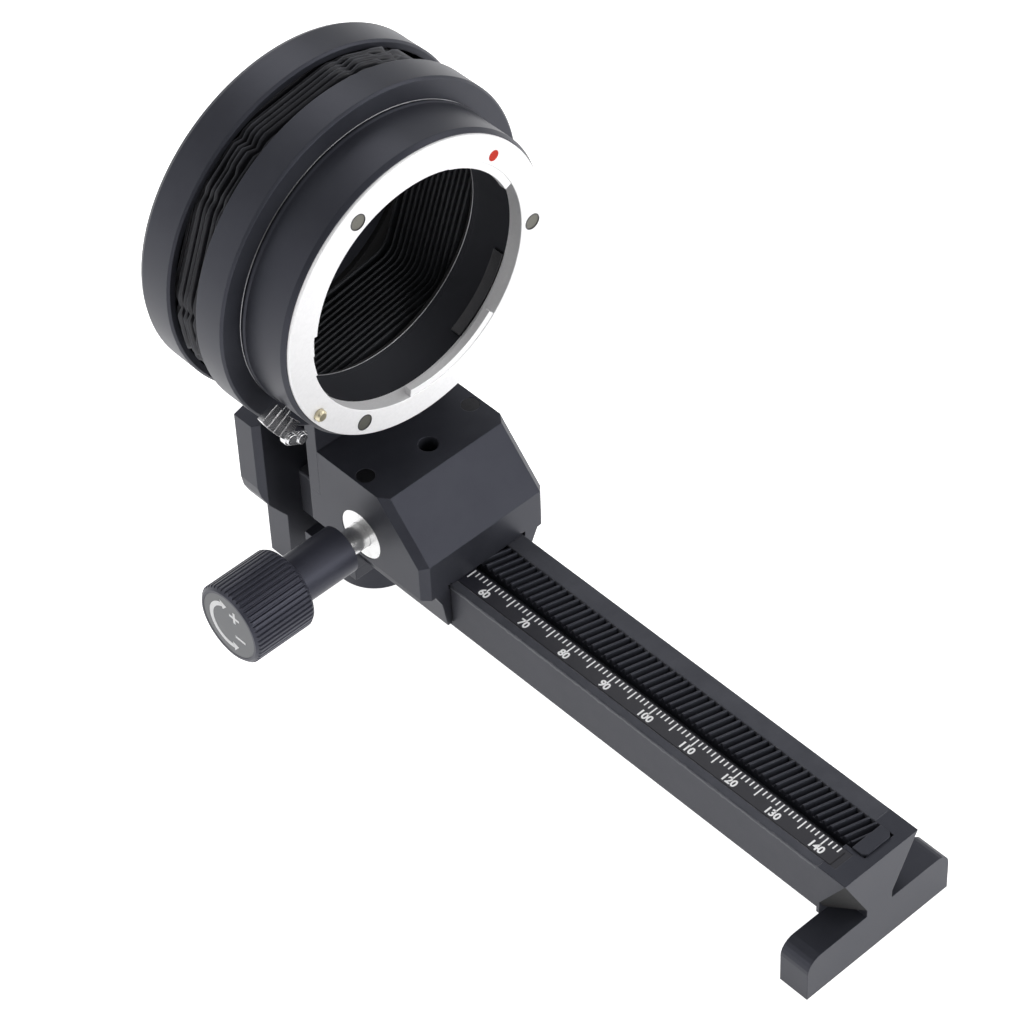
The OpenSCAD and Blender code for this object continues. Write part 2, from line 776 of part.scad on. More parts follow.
// Leaf springs behind the mount ring that press on a lens's lugs
module bayonet_springs() {
    color([0.5, 0.5, 0.5]) for (s = [[-62, -22], [58, 98], [178, 218]]) {
        ring_sector(barrel_front + spigot_l + 0.15, barrel_front + spigot_l + 0.15 + spring_l,
                    light_r + 0.15, light_r - 0.25, s[0], s[1]);
    }
}

// Flat ring that one end of the bellows is glued to, inside a large ring of the given radius
module bellows_frame(y, outer) {
    lens_ring(y, y + frame_t, outer - ring_wall - 0.25, frame_hole_r);
}

module front_bellows_frame() {
    color([0.3, 0.3, 0.31]) bellows_frame(frame_front, ring_r);
}

module rear_bellows_frame() {
    color([0.3, 0.3, 0.31]) bellows_frame(rear_frame_front, ring_r);
}

// Folded cloth: six flats, with corners that are sharp in the valleys and cut off on the ridges
function ridge_r(y) = y > ring_back + air && y < rear_ring_y - air ? fold_r + fold_extra : fold_r;
function edge_r(k, y) = k % 2 == 0 ? fold_r - fold_depth : ridge_r(y);
function edge_cut(k) = k % 2 == 0 ? inner_cut : outer_cut;
function fold_ring(y, flat_r, cut) = [
    for (i = [0:fold_sides - 1]) for (side = [-1, 1]) let (
        a = fold_turn + 360 * i / fold_sides + side * cut,
        r = flat_r / cos(180 / fold_sides - cut)
    ) [r * cos(a), y, axis_z + r * sin(a)]
];

module bellows() {
    pitch = (bellows_back - bellows_front) / folds;
    rings = 2 * folds + 1;
    function rim(k, inset) = let (y = bellows_front + k * pitch / 2)
        fold_ring(y, edge_r(k, y) - inset, edge_cut(k));
    outer = [for (k = [0:rings - 1]) rim(k, 0)];
    inner = [for (k = [0:rings - 1]) rim(k, cloth_t)];
    n = 2 * fold_sides;
    points = [for (r = concat(outer, inner)) each r];
    function at(layer, k, i) = (layer * rings + k) * n + (i % n);
    skin = [for (k = [0:rings - 2]) for (i = [0:n - 1]) each [
        [at(0, k, i), at(0, k + 1, i), at(0, k + 1, i + 1)],
        [at(0, k, i), at(0, k + 1, i + 1), at(0, k, i + 1)],
        [at(1, k, i), at(1, k + 1, i + 1), at(1, k + 1, i)],
        [at(1, k, i), at(1, k, i + 1), at(1, k + 1, i + 1)]
    ]];
    ends = [for (i = [0:n - 1]) each [
        [at(0, 0, i), at(0, 0, i + 1), at(1, 0, i + 1)],
        [at(0, 0, i), at(1, 0, i + 1), at(1, 0, i)],
        [at(0, rings - 1, i), at(1, rings - 1, i), at(1, rings - 1, i + 1)],
        [at(0, rings - 1, i), at(1, rings - 1, i + 1), at(0, rings - 1, i + 1)]
    ]];
    color([0.07, 0.07, 0.08]) polyhedron(points = points, faces = concat(skin, ends), convexity = 10);
}

// Shaft bushes in the block's sides
module bush(side) {
    inner = side * bush_in;
    outer = side * (bush_out - 0.1);
    difference() {
        bar_x(min(inner, outer), max(inner, outer), bush_r);
        bar_x(-block_w, block_w, shaft_r + shaft_gap);
    }
}

module left_bush() {
    color([0.86, 0.86, 0.87]) bush(-1);
}

module right_bush() {
    color([0.86, 0.86, 0.87]) bush(1);
}

// Shaft, with a groove for its clip at the right end
module pinion_shaft() {
    color([0.85, 0.86, 0.88]) difference() {
        bar_x(shaft_end, bush_out - 0.4, shaft_r);
        difference() {
            bar_x(clip_x - 0.02, clip_x + clip_t + 0.02, shaft_r + 1);
            bar_x(clip_x - 1, clip_x + clip_t + 1, shaft_r - clip_cut);
        }
    }
}

// Outline of the pinion, with straight flanks
module pinion_outline() {
    root = pitch_r - tooth_root;
    tip = pitch_r + tooth_top - 0.06;
    half = gear_half / pitch_r * 180 / PI;
    slope_out = tooth_top * tan(20) / pitch_r * 180 / PI;
    slope_in = tooth_root * tan(20) / pitch_r * 180 / PI;
    polygon([for (i = [0:pinion_teeth - 1]) let (a = 360 * i / pinion_teeth) each [
        root * [cos(a - half - slope_in), sin(a - half - slope_in)],
        tip * [cos(a - half + slope_out), sin(a - half + slope_out)],
        tip * [cos(a + half - slope_out), sin(a + half - slope_out)],
        root * [cos(a + half + slope_in), sin(a + half + slope_in)]
    ]]);
}

// Pinion with a plain hub on its left, the teeth over the right half of the rack
teeth_x = rack_right - 0.2 - pinion_w / 2;
hub_x = teeth_x - pinion_w / 2 - hub_l;
hub_screw_x = hub_x + hub_l / 2;
hub_screw_r = 0.9;

module pinion() {
    lead = pinion_w * tan(rack_slant) / pitch_r * 180 / PI;
    phase = (teeth_x - rack_x) * tan(rack_slant) / pitch_r * 180 / PI;
    color([0.6, 0.6, 0.61]) difference() {
        union() {
            translate([teeth_x - pinion_w / 2, shaft_y, shaft_z]) rotate([0, 90, 0])
                rotate([0, 0, lead / 2 - phase])
                    linear_extrude(pinion_w, twist = lead, slices = 4) pinion_outline();
            bar_x(hub_x, teeth_x - pinion_w / 2 + eps, hub_r);
        }
        bar_x(-block_w, block_w, shaft_r + press);
        bar_z(hub_screw_x, shaft_y, shaft_z, shaft_z + hub_r + 1, hub_screw_r + press);
    }
}

module pinion_screw() {
    low = shaft_z + shaft_r + 0.02;
    top = shaft_z + hub_r - 0.1;
    color([0.16, 0.16, 0.17]) difference() {
        bar_z(hub_screw_x, shaft_y, low, top, hub_screw_r);
        translate([hub_screw_x, shaft_y, top - 0.8]) cylinder(h = 2, r = 0.5, $fn = 6);
    }
}

module shaft_washer() {
    color([0.8, 0.8, 0.78]) difference() {
        bar_x(-bush_in + 0.05, -bush_in + 0.05 + washer_t, shaft_r + 1.8);
        bar_x(-block_w, block_w, shaft_r + press);
    }
}

module shaft_clip() {
    color([0.5, 0.5, 0.5]) difference() {
        bar_x(clip_x, clip_x + clip_t, clip_r);
        bar_x(clip_x - 1, clip_x + clip_t + 1, shaft_r - clip_cut + press);
        span([clip_x - 1, shaft_y - 1.2, shaft_z - clip_r - 1], [clip_x + clip_t + 1, shaft_y + 1.2, shaft_z]);
    }
}

// Knob: a smooth neck and a ribbed head turned from one bar
module knob_outline() {
    step = 360 / knob_ribs;
    polygon([for (i = [0:knob_ribs - 1]) let (a = i * step) each [
        knob_r * [cos(a - step * 0.22), sin(a - step * 0.22)],
        knob_r * [cos(a + step * 0.22), sin(a + step * 0.22)],
        (knob_r - rib_depth) * [cos(a + step * 0.4), sin(a + step * 0.4)],
        (knob_r - rib_depth) * [cos(a + step * 0.6), sin(a + step * 0.6)]
    ]]);
}

module focus_knob() {
    color([0.11, 0.115, 0.125]) difference() {
        union() {
            bar_x(head_start - eps, neck_start, knob_neck_r);
            translate([knob_end, shaft_y, shaft_z]) rotate([0, 90, 0]) intersection() {
                linear_extrude(knob_l) knob_outline();
                rotate_extrude() polygon([
                    [0, 0],
                    [knob_r - 0.7, 0],
                    [knob_r + 0.1, 0.7],
                    [knob_r + 0.1, knob_l - 1.4],
                    [knob_r - 0.4, knob_l - 0.6],
                    [knob_r - 1.4, knob_l],
                    [0, knob_l]
                ]);
            }
        }
        bar_x(shaft_end - 0.3, neck_start + 1, shaft_r + press);
        bar_x(knob_end - 1, knob_end + 0.3, knob_r - 1.2);
        bar_z(grub_x, shaft_y, shaft_z - knob_neck_r - 1, shaft_z, grub_r + press);
    }
}

grub_x = neck_start - 3.2;
grub_r = 1.2;

module knob_grub_screw() {
    low = shaft_z - knob_neck_r + 0.35;
    top = shaft_z - shaft_r - 0.02;
    color([0.15, 0.15, 0.16]) difference() {
        bar_z(grub_x, shaft_y, low, top, grub_r);
        translate([grub_x, shaft_y, low - 1]) cylinder(h = 2, r = 0.7, $fn = 6);
    }
}

module knob_label() {
    color([0.45, 0.46, 0.48]) bar_x(knob_end + 0.05, knob_end + 0.3, knob_r - 1.25);
}

// Rail: a bar with a step for the scale and a slot for the rack
module rail() {
    color([0.14, 0.145, 0.16]) difference() {
        span([-rail_w / 2, rail_end, rail_lift], [rail_w / 2, leg_front, rail_top]);
        span([groove_left, rail_end - 1, rail_top - rack_t], [rack_right + press, bed_end, rail_top + 1]);
        span([scale_left, rail_end - 1, rail_top - scale_t], [groove_left + eps, bed_end, rail_top + 1]);
        for (y = rack_screw_y) {
            bar_z(rack_x, y, rail_lift - 1, rail_top, small_screw_r + press);
            bar_z(rack_x, y, rail_lift - 1, rail_lift + rack_screw_sink, rack_head_r + press);
        }
        for (x = rail_screw_x) {
            bar_y(x, rail_screw_z, leg_front - rail_screw_hold, leg_front + 1, screw_r + press);
        }
        for (x = rail_pin_x) bar_y(x, rail_pin_z, rail_end - 1, rail_end + rail_pin_in, rail_pin_r + press);
    }
}

rack_screw_y = [rail_end + rail_l / 11, rail_end + rail_l / 2, rack_back - rack_reach * 0.8];
rack_screw_sink = 4.2;
rack_head_r = 1.7;
rail_screw_x = [-4.6, 4.6];
rail_screw_z = rail_lift + rail_h / 2;
rail_screw_hold = 12;
rail_screw_sink = 2.6;
rail_screw_l = leg_t - rail_screw_sink + rail_screw_hold - 2.2;
rail_pin_x = [-1.6, 1.6];
rail_pin_z = rail_lift + 3.4;
rail_pin_r = 1;
rail_pin_in = 6;
foot_pin_in = 4;

module rack_screws() {
    color([0.5, 0.5, 0.5]) for (y = rack_screw_y) {
        translate([rack_x, y, rail_lift + rack_screw_sink]) rotate([180, 0, 0])
            cross_screw(rack_screw_l, small_screw_r, rack_head_r, 1.2);
    }
}

rack_screw_l = rail_h - rack_screw_sink - tooth_top - tooth_root - 0.35;

// Rack with slanted teeth and a plain block at its front end
module rack() {
    valley = pitch_z - tooth_root;
    stop_left = rack_left - rack_stop_w;
    stop_right = rack_right - 0.2;
    color([0.12, 0.125, 0.14]) difference() {
        union() {
            span([rack_left, rack_stop, rail_top - rack_t], [rack_right, rack_back, valley]);
            intersection() {
                span([rack_left, rack_teeth_end, valley - eps], [rack_right, rack_back, rail_top]);
                rack_teeth();
            }
            // Plain block that closes the slot, a little proud of the rail
            translate([0, 0, rail_top - rack_t]) linear_extrude(rack_t + rack_stop_h) polygon([
                [stop_left, rack_teeth_end],
                [stop_left, rack_stop + 0.7],
                [stop_left + 0.7, rack_stop],
                [stop_right - 0.7, rack_stop],
                [stop_right, rack_stop + 0.7],
                [stop_right, rack_teeth_end]
            ]);
        }
        for (y = rack_screw_y) bar_z(rack_x, y, rail_top - rack_t - 1, valley - 0.3, small_screw_r + press);
    }
}

// A comb of trapezoids, turned by the slant about the point that meshes with the pinion
module rack_teeth() {
    pitch = rack_pitch * cos(rack_slant);
    flank = 0.36;
    half = gear_half * cos(rack_slant);
    low = -tooth_root - 0.05;
    ahead = ceil((shaft_y - rack_teeth_end) / rack_pitch) + 4;
    behind = ceil((rack_back - shaft_y) / rack_pitch) + 4;
    translate([rack_x, shaft_y, pitch_z]) rotate([0, 0, -rack_slant]) rotate([90, 0, 90])
        translate([0, 0, -rail_l / 2]) linear_extrude(rail_l) for (k = [-ahead:behind]) {
            c = (k + 0.5) * pitch;
            polygon([
                [c - half - flank * -low, low],
                [c + half + flank * -low, low],
                [c + half - flank * tooth_top, tooth_top],
                [c - half + flank * tooth_top, tooth_top]
            ]);
        }
}

// Strip that carries the millimetre marks
module scale_strip() {
    color([0.12, 0.12, 0.15]) span(
        [scale_left + 0.02, strip_end, rail_top - scale_t],
        [groove_left - 0.02, rack_back, rail_top - 0.03]
    );
}

// End foot: a cross foot with a tapering neck and a lip that closes the rail's front end
foot_lip_t = 0.7;
foot_lip_drop = 1.2;

module end_foot() {
    waist = rail_lift - 0.6;
    half = foot_w / 2 - foot_round;
    color([0.13, 0.135, 0.15]) difference() {
        union() {
            translate([0, rail_end, 0]) rotate([90, 0, 0]) linear_extrude(foot_t) polygon(concat(
                [[-foot_w / 2, 0], [foot_w / 2, 0]],
                [for (a = [0:15:90]) [half + foot_round * cos(a), foot_h - foot_round + foot_round * sin(a)]],
                [[neck_w / 2, foot_h], [neck_w / 2, waist], [rail_w / 2, rail_top]],
                [[-rail_w / 2, rail_top], [-neck_w / 2, waist], [-neck_w / 2, foot_h]],
                [for (a = [90:15:180]) [-half + foot_round * cos(a), foot_h - foot_round + foot_round * sin(a)]]
            ));
            span([-rail_w / 2, rail_end - foot_lip_t, rail_lift - foot_lip_drop],
                 [rail_w / 2, rail_end, rail_top]);
        }
        // Pockets for the ends of the rack and the scale strip
        span([rack_left - rack_stop_w - press, rack_stop - press, rail_top - rack_t],
             [rack_right + press, rail_end + 1, rail_top + 1]);
        span([scale_left, strip_end - press, rail_top - scale_t],
             [groove_left + eps, rail_end + 1, rail_top + 1]);
        for (x = rail_pin_x) bar_y(x, rail_pin_z, rail_end - foot_pin_in, rail_end + 1, rail_pin_r + press);
    }
}

// Pins that locate the end foot on the rail
module rail_pins() {
    color([0.6, 0.6, 0.6]) for (x = rail_pin_x) bar_y(x, rail_pin_z, rail_end - foot_pin_in + 0.1,
        rail_end + rail_pin_in - 0.1, rail_pin_r);
}

// Half the outline of the rear standard's leg and shoulder, from the foot up
function leg_half() = let (spread = (shoulder_w - leg_w) / 2, neck = rail_lift + 1) [
    [leg_w / 2, 0],
    [leg_w / 2, neck],
    [leg_w / 2 + spread * 0.74, neck + 5.3],
    [leg_w / 2 + spread * 0.92, neck + 7.4],
    [shoulder_w / 2, neck + 9.8],
    [shoulder_w / 2, shoulder_top],
    [shoulder_w / 2 - shoulder_step, shoulder_top + 1.6],
    [shoulder_w / 2 - shoulder_step, axis_z - ring_r + 6]
];

// Rear standard: a cup-shaped ring on a leg that the rail is screwed to
module rear_standard() {
    half = leg_half();
    flip = [for (i = [len(half) - 1:-1:0]) [-half[i][0], half[i][1]]];
    color([0.13, 0.135, 0.15]) difference() {
        union() {
            lens_frame(rear_back) rotate_extrude() polygon([
                [camera_tube_r - camera_tube_wall, 0],
                [ring_r - 1.2, 0],
                [ring_r - 0.5, 0.3],
                [ring_r - 0.1, 1.1],
                [ring_r, rear_ring_l - 0.4],
                [ring_r - 0.4, rear_ring_l],
                [ring_r - ring_wall, rear_ring_l],
                [ring_r - ring_wall, rear_wall_t],
                [camera_tube_r - camera_tube_wall, rear_wall_t]
            ]);
            intersection() {
                translate([0, leg_back, 0]) rotate([90, 0, 0]) linear_extrude(leg_t) difference() {
                    polygon(concat(half, flip));
                    translate([0, axis_z]) circle(r = ring_r - ring_wall + eps, $fn = 96);
                }
                // Bevels along the leg's upright front edges
                linear_extrude(axis_z) polygon([
                    [-shoulder_w / 2, leg_back],
                    [-shoulder_w / 2, leg_front + leg_bevel],
                    [-shoulder_w / 2 + leg_bevel, leg_front],
                    [shoulder_w / 2 - leg_bevel, leg_front],
                    [shoulder_w / 2, leg_front + leg_bevel],
                    [shoulder_w / 2, leg_back]
                ]);
            }
        }
        for (x = rail_screw_x) {
            bar_y(x, rail_screw_z, leg_front - 1, leg_back + 1, screw_r + press);
            bar_y(x, rail_screw_z, leg_back - rail_screw_sink, leg_back + 1, screw_head_r + press);
        }
        for (a = camera_screw_angles) lens_frame(rear_back + 1) rotate([0, 0, a]) translate([camera_screw_at, 0, 0])
            cylinder(h = 1 + rear_wall_t - 0.2, r = camera_screw_shank + press, $fn = 32);
    }
}

module rear_standard_screws() {
    color([0.2, 0.2, 0.21]) for (x = rail_screw_x) {
        translate([x, leg_back - rail_screw_sink, rail_screw_z]) rotate([-90, 0, 0])
            cap_screw(rail_screw_l, head_h = rail_screw_sink - 0.1);
    }
}

// Camera mount: a flange on the rear ring and a short tube with lugs
camera_screw_angles = [45, 135, 225, 315];

module camera_mount() {
    bore = camera_tube_r - camera_tube_wall;
    color([0.88, 0.88, 0.89]) difference() {
        union() {
            lens_ring(rear_back, camera_face, camera_flange_r, bore);
            lens_ring(camera_face - eps, camera_face + camera_tube_l, camera_tube_r, bore);
            for (s = camera_lug_spans) ring_sector(camera_face + camera_tube_l - camera_lug_t,
                camera_face + camera_tube_l, camera_lug_r, camera_tube_r - 0.5, s[0], s[1]);
        }
        for (a = camera_screw_angles) lens_frame(camera_face) rotate([0, 0, a])
            translate([camera_screw_at, 0, 0]) {
            cylinder(h = through, r = camera_screw_shank + press, $fn = 32);
            translate([0, 0, -1]) cylinder(h = 1 + camera_screw_sink, r = small_head_r + press, $fn = 48);
        }
        // Hole that the camera's lock pin drops into
        lens_frame(camera_face) rotate([0, 0, -100]) translate([camera_screw_at, 0, -1])
            cylinder(h = 2.3, r = 1.25, $fn = 48);
        lens_frame(camera_face) rotate([0, 0, 90]) translate([camera_screw_at, 0, -1])
            cylinder(h = 1.3, r = dot_r + press, $fn = 48);
    }
}

module camera_mount_screws() {
    color([0.55, 0.54, 0.52]) for (a = camera_screw_angles) lens_frame(camera_face) rotate([0, 0, a])
        translate([camera_screw_at, 0, camera_screw_sink]) rotate([180, 0, 0])
            cross_screw(camera_screw_l, camera_screw_shank, small_head_r, camera_screw_sink - 0.05);
}

module camera_index_dot() {
    color([0.85, 0.16, 0.1]) lens_frame(camera_face) rotate([0, 0, 90]) translate([camera_screw_at, 0, -0.02])
        cylinder(h = 0.32, r = dot_r, $fn = 48);
}

carriage_block();
guide_pads();
tripod_plate();
tripod_insert();
tripod_plate_screws();
front_standard();
front_standard_screws();
front_barrel();
lens_mount_ring();
lens_mount_screws();
index_dot();
bayonet_springs();
front_bellows_frame();
bellows();
left_bush();
right_bush();
bush_pins();
gib_screws();
lock_spring();
rail();
rail_pins();
rack();
rack_screws();
scale_strip();
end_foot();
rear_standard();
rear_standard_screws();
rear_bellows_frame();
camera_mount();
camera_mount_screws();
camera_index_dot();
pinion_shaft();
pinion();
pinion_screw();
focus_knob();
knob_label();
knob_grub_screw();
shaft_washer();
shaft_clip();
lens_lock_pin();
release_lever();
release_screws();
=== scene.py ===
import json
import math
import random

import bpy
from mathutils import Matrix, Vector, noise


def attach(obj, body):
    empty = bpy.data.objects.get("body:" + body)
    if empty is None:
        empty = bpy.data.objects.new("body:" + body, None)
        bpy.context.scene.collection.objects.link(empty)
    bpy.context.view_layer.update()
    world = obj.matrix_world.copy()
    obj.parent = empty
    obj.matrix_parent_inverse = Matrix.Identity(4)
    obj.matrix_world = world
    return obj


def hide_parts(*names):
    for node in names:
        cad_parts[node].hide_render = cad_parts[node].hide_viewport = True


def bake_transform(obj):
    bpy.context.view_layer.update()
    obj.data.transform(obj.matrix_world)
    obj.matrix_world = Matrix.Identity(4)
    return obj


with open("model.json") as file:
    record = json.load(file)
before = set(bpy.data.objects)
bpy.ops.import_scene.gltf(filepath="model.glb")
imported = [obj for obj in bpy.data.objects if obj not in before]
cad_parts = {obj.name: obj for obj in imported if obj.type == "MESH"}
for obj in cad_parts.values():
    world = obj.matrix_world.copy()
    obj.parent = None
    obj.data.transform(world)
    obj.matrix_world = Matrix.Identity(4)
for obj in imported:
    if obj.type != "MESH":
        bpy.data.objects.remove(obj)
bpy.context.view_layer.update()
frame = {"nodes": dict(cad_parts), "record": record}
nodes = frame["nodes"]
mm = 0.001
axisHeight = 78.6  # of the lens axis, mm
print("frame loaded:", len(nodes), "nodes")

# the camera stands in front, to the left and well above, as in the photograph
photoView = {
    "azimuth": 41.06,  # degrees from +Y towards +X that it looks along
    "elevation": 45.96,  # degrees that it looks down
    "roll": -2.91,
    "lens": 146.3,
    "place": (-321.3, -405.3, 546.0),  # mm
}


def makeCamera(view):
    turn, tilt, roll = (math.radians(view[k]) for k in ("azimuth", "elevation", "roll"))
    ahead = Vector((math.sin(turn) * math.cos(tilt), math.cos(turn) * math.cos(tilt), -math.sin(tilt)))
    right = Vector((math.cos(turn), -math.sin(turn), 0))
    up = right.cross(ahead)
    rolledRight = math.cos(roll) * right + math.sin(roll) * up
    rolledUp = math.cos(roll) * up - math.sin(roll) * right
    lensData = bpy.data.cameras.new("photoCamera")
    lensData.lens = view["lens"]
    lensData.sensor_width = 36
    lensData.clip_start = 0.01
    lensData.clip_end = 20
    camera = bpy.data.objects.new("photoCamera", lensData)
    bpy.context.scene.collection.objects.link(camera)
    camera.matrix_world = Matrix.Translation(Vector(view["place"]) * mm) @ Matrix(
        (rolledRight, rolledUp, -ahead)
    ).transposed().to_4x4()
    bpy.context.scene.camera = camera


makeCamera(photoView)
print("camera placed")


# node helpers
def newMaterial(name):
    material = bpy.data.materials.new(name)
    material.use_nodes = True
    tree = material.node_tree
    return material, tree, tree.nodes["Principled BSDF"]


def addNode(tree, kind, **settings):
    node = tree.nodes.new(kind)
    for key, value in settings.items():
        setattr(node, key, value)
    return node


def noiseOn(tree, size, detail=3.0, rough=0.55, stretch=(1, 1, 1)):
    # noise whose features are about size metres across
    place = addNode(tree, "ShaderNodeTexCoord")
    mapping = addNode(tree, "ShaderNodeMapping")
    mapping.inputs["Scale"].default_value = stretch
    tree.links.new(place.outputs["Object"], mapping.inputs["Vector"])
    texture = addNode(tree, "ShaderNodeTexNoise")
    texture.inputs["Scale"].default_value = 1 / size
    texture.inputs["Detail"].default_value = detail
    texture.inputs["Roughness"].default_value = rough
    tree.links.new(mapping.outputs["Vector"], texture.inputs["Vector"])
    return texture.outputs["Fac"]


def ramp(tree, source, stops):
    node = addNode(tree, "ShaderNodeValToRGB")
    elements = node.color_ramp.elements
    while len(elements) < len(stops):
        elements.new(0.5)
    for element, (place, colour) in zip(elements, stops):
        element.position = place
        element.color = (*colour, 1)
    tree.links.new(source, node.inputs["Fac"])
    return node.outputs["Color"]


def bumpFrom(tree, height, strength, depth, below=None):
    node = addNode(tree, "ShaderNodeBump")
    node.inputs["Strength"].default_value = strength
    node.inputs["Distance"].default_value = depth
    tree.links.new(height, node.inputs["Height"])
    if below is not None:
        tree.links.new(below, node.inputs["Normal"])
    return node.outputs["Normal"]


def spread(tree, source, low, high):
    # a 0 to 1 value stretched over low to high
    node = addNode(tree, "ShaderNodeMapRange")
    node.inputs["To Min"].default_value = low
    node.inputs["To Max"].default_value = high
    tree.links.new(source, node.inputs["Value"])
    return node.outputs["Result"]


def maskBetween(tree, source, places):
    # black below the first place and white above the second
    return ramp(tree, source, [(places[0], (0, 0, 0)), (places[1], (1, 1, 1))])


def roundedEdge(tree, radius):
    # the normal of an edge softened over radius metres, and how near the edge is, from 0 to about 0.3
    soft = addNode(tree, "ShaderNodeBevel", samples=6)
    soft.inputs["Radius"].default_value = radius
    plain = addNode(tree, "ShaderNodeNewGeometry")
    dot = addNode(tree, "ShaderNodeVectorMath", operation="DOT_PRODUCT")
    tree.links.new(soft.outputs["Normal"], dot.inputs[0])
    tree.links.new(plain.outputs["Normal"], dot.inputs[1])
    near = addNode(tree, "ShaderNodeMath", operation="SUBTRACT")
    near.inputs[0].default_value = 1
    tree.links.new(dot.outputs["Value"], near.inputs[1])
    return soft.outputs["Normal"], near.outputs["Value"]


def mixColours(tree, factor, first, second):
    node = addNode(tree, "ShaderNodeMix", data_type="RGBA")
    tree.links.new(factor, node.inputs["Factor"])
    for socket, colour in ((node.inputs[6], first), (node.inputs[7], second)):
        if isinstance(colour, tuple):
            socket.default_value = (*colour, 1)
        else:
            tree.links.new(colour, socket)
    return node.outputs[2]


def times(tree, first, second):
    node = addNode(tree, "ShaderNodeMath", operation="MULTIPLY")
    for socket, value in ((node.inputs[0], first), (node.inputs[1], second)):
        if isinstance(value, float):
            socket.default_value = value
        else:
            tree.links.new(value, socket)
    return node.outputs["Value"]


# the body's satin black, rubbed through to the alloy along its edges
blackFinish = {
    "dark": (0.0205, 0.0215, 0.0275),
    "pale": (0.029, 0.0305, 0.0375),
    "sheen": (0.80, 0.82, 1.0),  # the bluish tint of its gloss
    "gloss": 0.42,
    "worn": (0.22, 0.22, 0.23),  # bare alloy along the handled edges
    "wearShare": 0.55,
    "wearSize": 1.6 * mm,
    "wearPatches": (0.46, 0.66),
    "wearEdges": (0.05, 0.24),
    "grain": 0.16 * mm,
    "grainDepth": 0.012 * mm,
    "patch": 9 * mm,
    "rough": (0.36, 0.48),
    "edge": 0.22 * mm,
}


def satinBlack(name, finish):
    material, tree, shader = newMaterial(name)
    patches = noiseOn(tree, finish["patch"], 4)
    black = ramp(tree, patches, [(0.3, finish["dark"]), (0.7, finish["pale"])])
    edgeNormal, edgeNear = roundedEdge(tree, finish["edge"])
    wearMask = maskBetween(tree, noiseOn(tree, finish["wearSize"], 5, 0.7), finish["wearPatches"])
    edgeMask = maskBetween(tree, edgeNear, finish["wearEdges"])
    worn = times(tree, times(tree, wearMask, edgeMask), finish["wearShare"])
    tree.links.new(mixColours(tree, worn, black, finish["worn"]), shader.inputs["Base Color"])
    grain = noiseOn(tree, finish["grain"], 2)
    tree.links.new(spread(tree, patches, *finish["rough"]), shader.inputs["Roughness"])
    tree.links.new(bumpFrom(tree, grain, 0.5, finish["grainDepth"], edgeNormal), shader.inputs["Normal"])
    shader.inputs["Specular Tint"].default_value = (*finish["sheen"], 1)
    shader.inputs["Specular IOR Level"].default_value = finish["gloss"]
    return material


# the rail is greyer and duller
railFinish = {
    **blackFinish,
    "dark": (0.055, 0.057, 0.067),
    "pale": (0.072, 0.074, 0.086),
    "gloss": 0.22,
    "wearShare": 0.8,
    "grainDepth": 0.02 * mm,
    "edge": 0.45 * mm,
    "patch": 5 * mm,
}

# a pale line under the rail's upper left edge: a painted highlight of the rounded edge, and rubbed wear
rubAndHighlightLine = {
    "side": -8.6,  # the line is on the faces beyond this X
    "height": 21.5,
    "half": 0.34,
    "wander": 0.5,
    "size": 1.4,
    "share": 0.8,
    "colour": (0.17, 0.172, 0.185),
}


def rubbedBlack(name, finish, line):
    material = satinBlack(name, finish)
    tree = material.node_tree
    shader = tree.nodes["Principled BSDF"]
    place = addNode(tree, "ShaderNodeTexCoord")
    parts = addNode(tree, "ShaderNodeSeparateXYZ")
    tree.links.new(place.outputs["Object"], parts.inputs[0])
    onSide = addNode(tree, "ShaderNodeMath", operation="LESS_THAN")
    onSide.inputs[1].default_value = line["side"] * mm
    tree.links.new(parts.outputs["X"], onSide.inputs[0])
    waves = noiseOn(tree, line["size"] * mm, 3, 0.6)
    wander = spread(tree, waves, -line["wander"] * mm, line["wander"] * mm)
    height = addNode(tree, "ShaderNodeMath", operation="ADD")
    tree.links.new(parts.outputs["Z"], height.inputs[0])
    tree.links.new(wander, height.inputs[1])
    above = addNode(tree, "ShaderNodeMath", operation="SUBTRACT")
    above.inputs[1].default_value = line["height"] * mm
    tree.links.new(height.outputs[0], above.inputs[0])
    away = addNode(tree, "ShaderNodeMath", operation="ABSOLUTE")
    tree.links.new(above.outputs[0], away.inputs[0])
    band = addNode(tree, "ShaderNodeMapRange", interpolation_type="SMOOTHSTEP")
    band.inputs["From Max"].default_value = line["half"] * mm
    band.inputs["To Min"].default_value = 1
    band.inputs["To Max"].default_value = 0
    tree.links.new(away.outputs[0], band.inputs["Value"])
    # the pale band is a painted highlight of the rounded edge as well as rubbed wear
    mask = times(tree, times(tree, band.outputs["Result"], onSide.outputs[0]), line["share"])
    black = shader.inputs["Base Color"].links[0].from_socket
    tree.links.new(mixColours(tree, mask, black, line["colour"]), shader.inputs["Base Color"])
    return material


metalEdge = 0.12 * mm


def metal(name, colour, rough, grain, stretch=(1, 1, 1), depth=0.004 * mm, metallic=1.0, vary=0.86):
    material, tree, shader = newMaterial(name)
    streaks = noiseOn(tree, grain, 4, 0.6, stretch)
    darker = tuple(vary * c for c in colour)
    tree.links.new(ramp(tree, streaks, [(0.3, darker), (0.65, colour)]), shader.inputs["Base Color"])
    tree.links.new(spread(tree, streaks, *rough), shader.inputs["Roughness"])
    edgeNormal = roundedEdge(tree, metalEdge)[0]
    tree.links.new(bumpFrom(tree, streaks, 0.4, depth, edgeNormal), shader.inputs["Normal"])
    shader.inputs["Metallic"].default_value = metallic
    return material


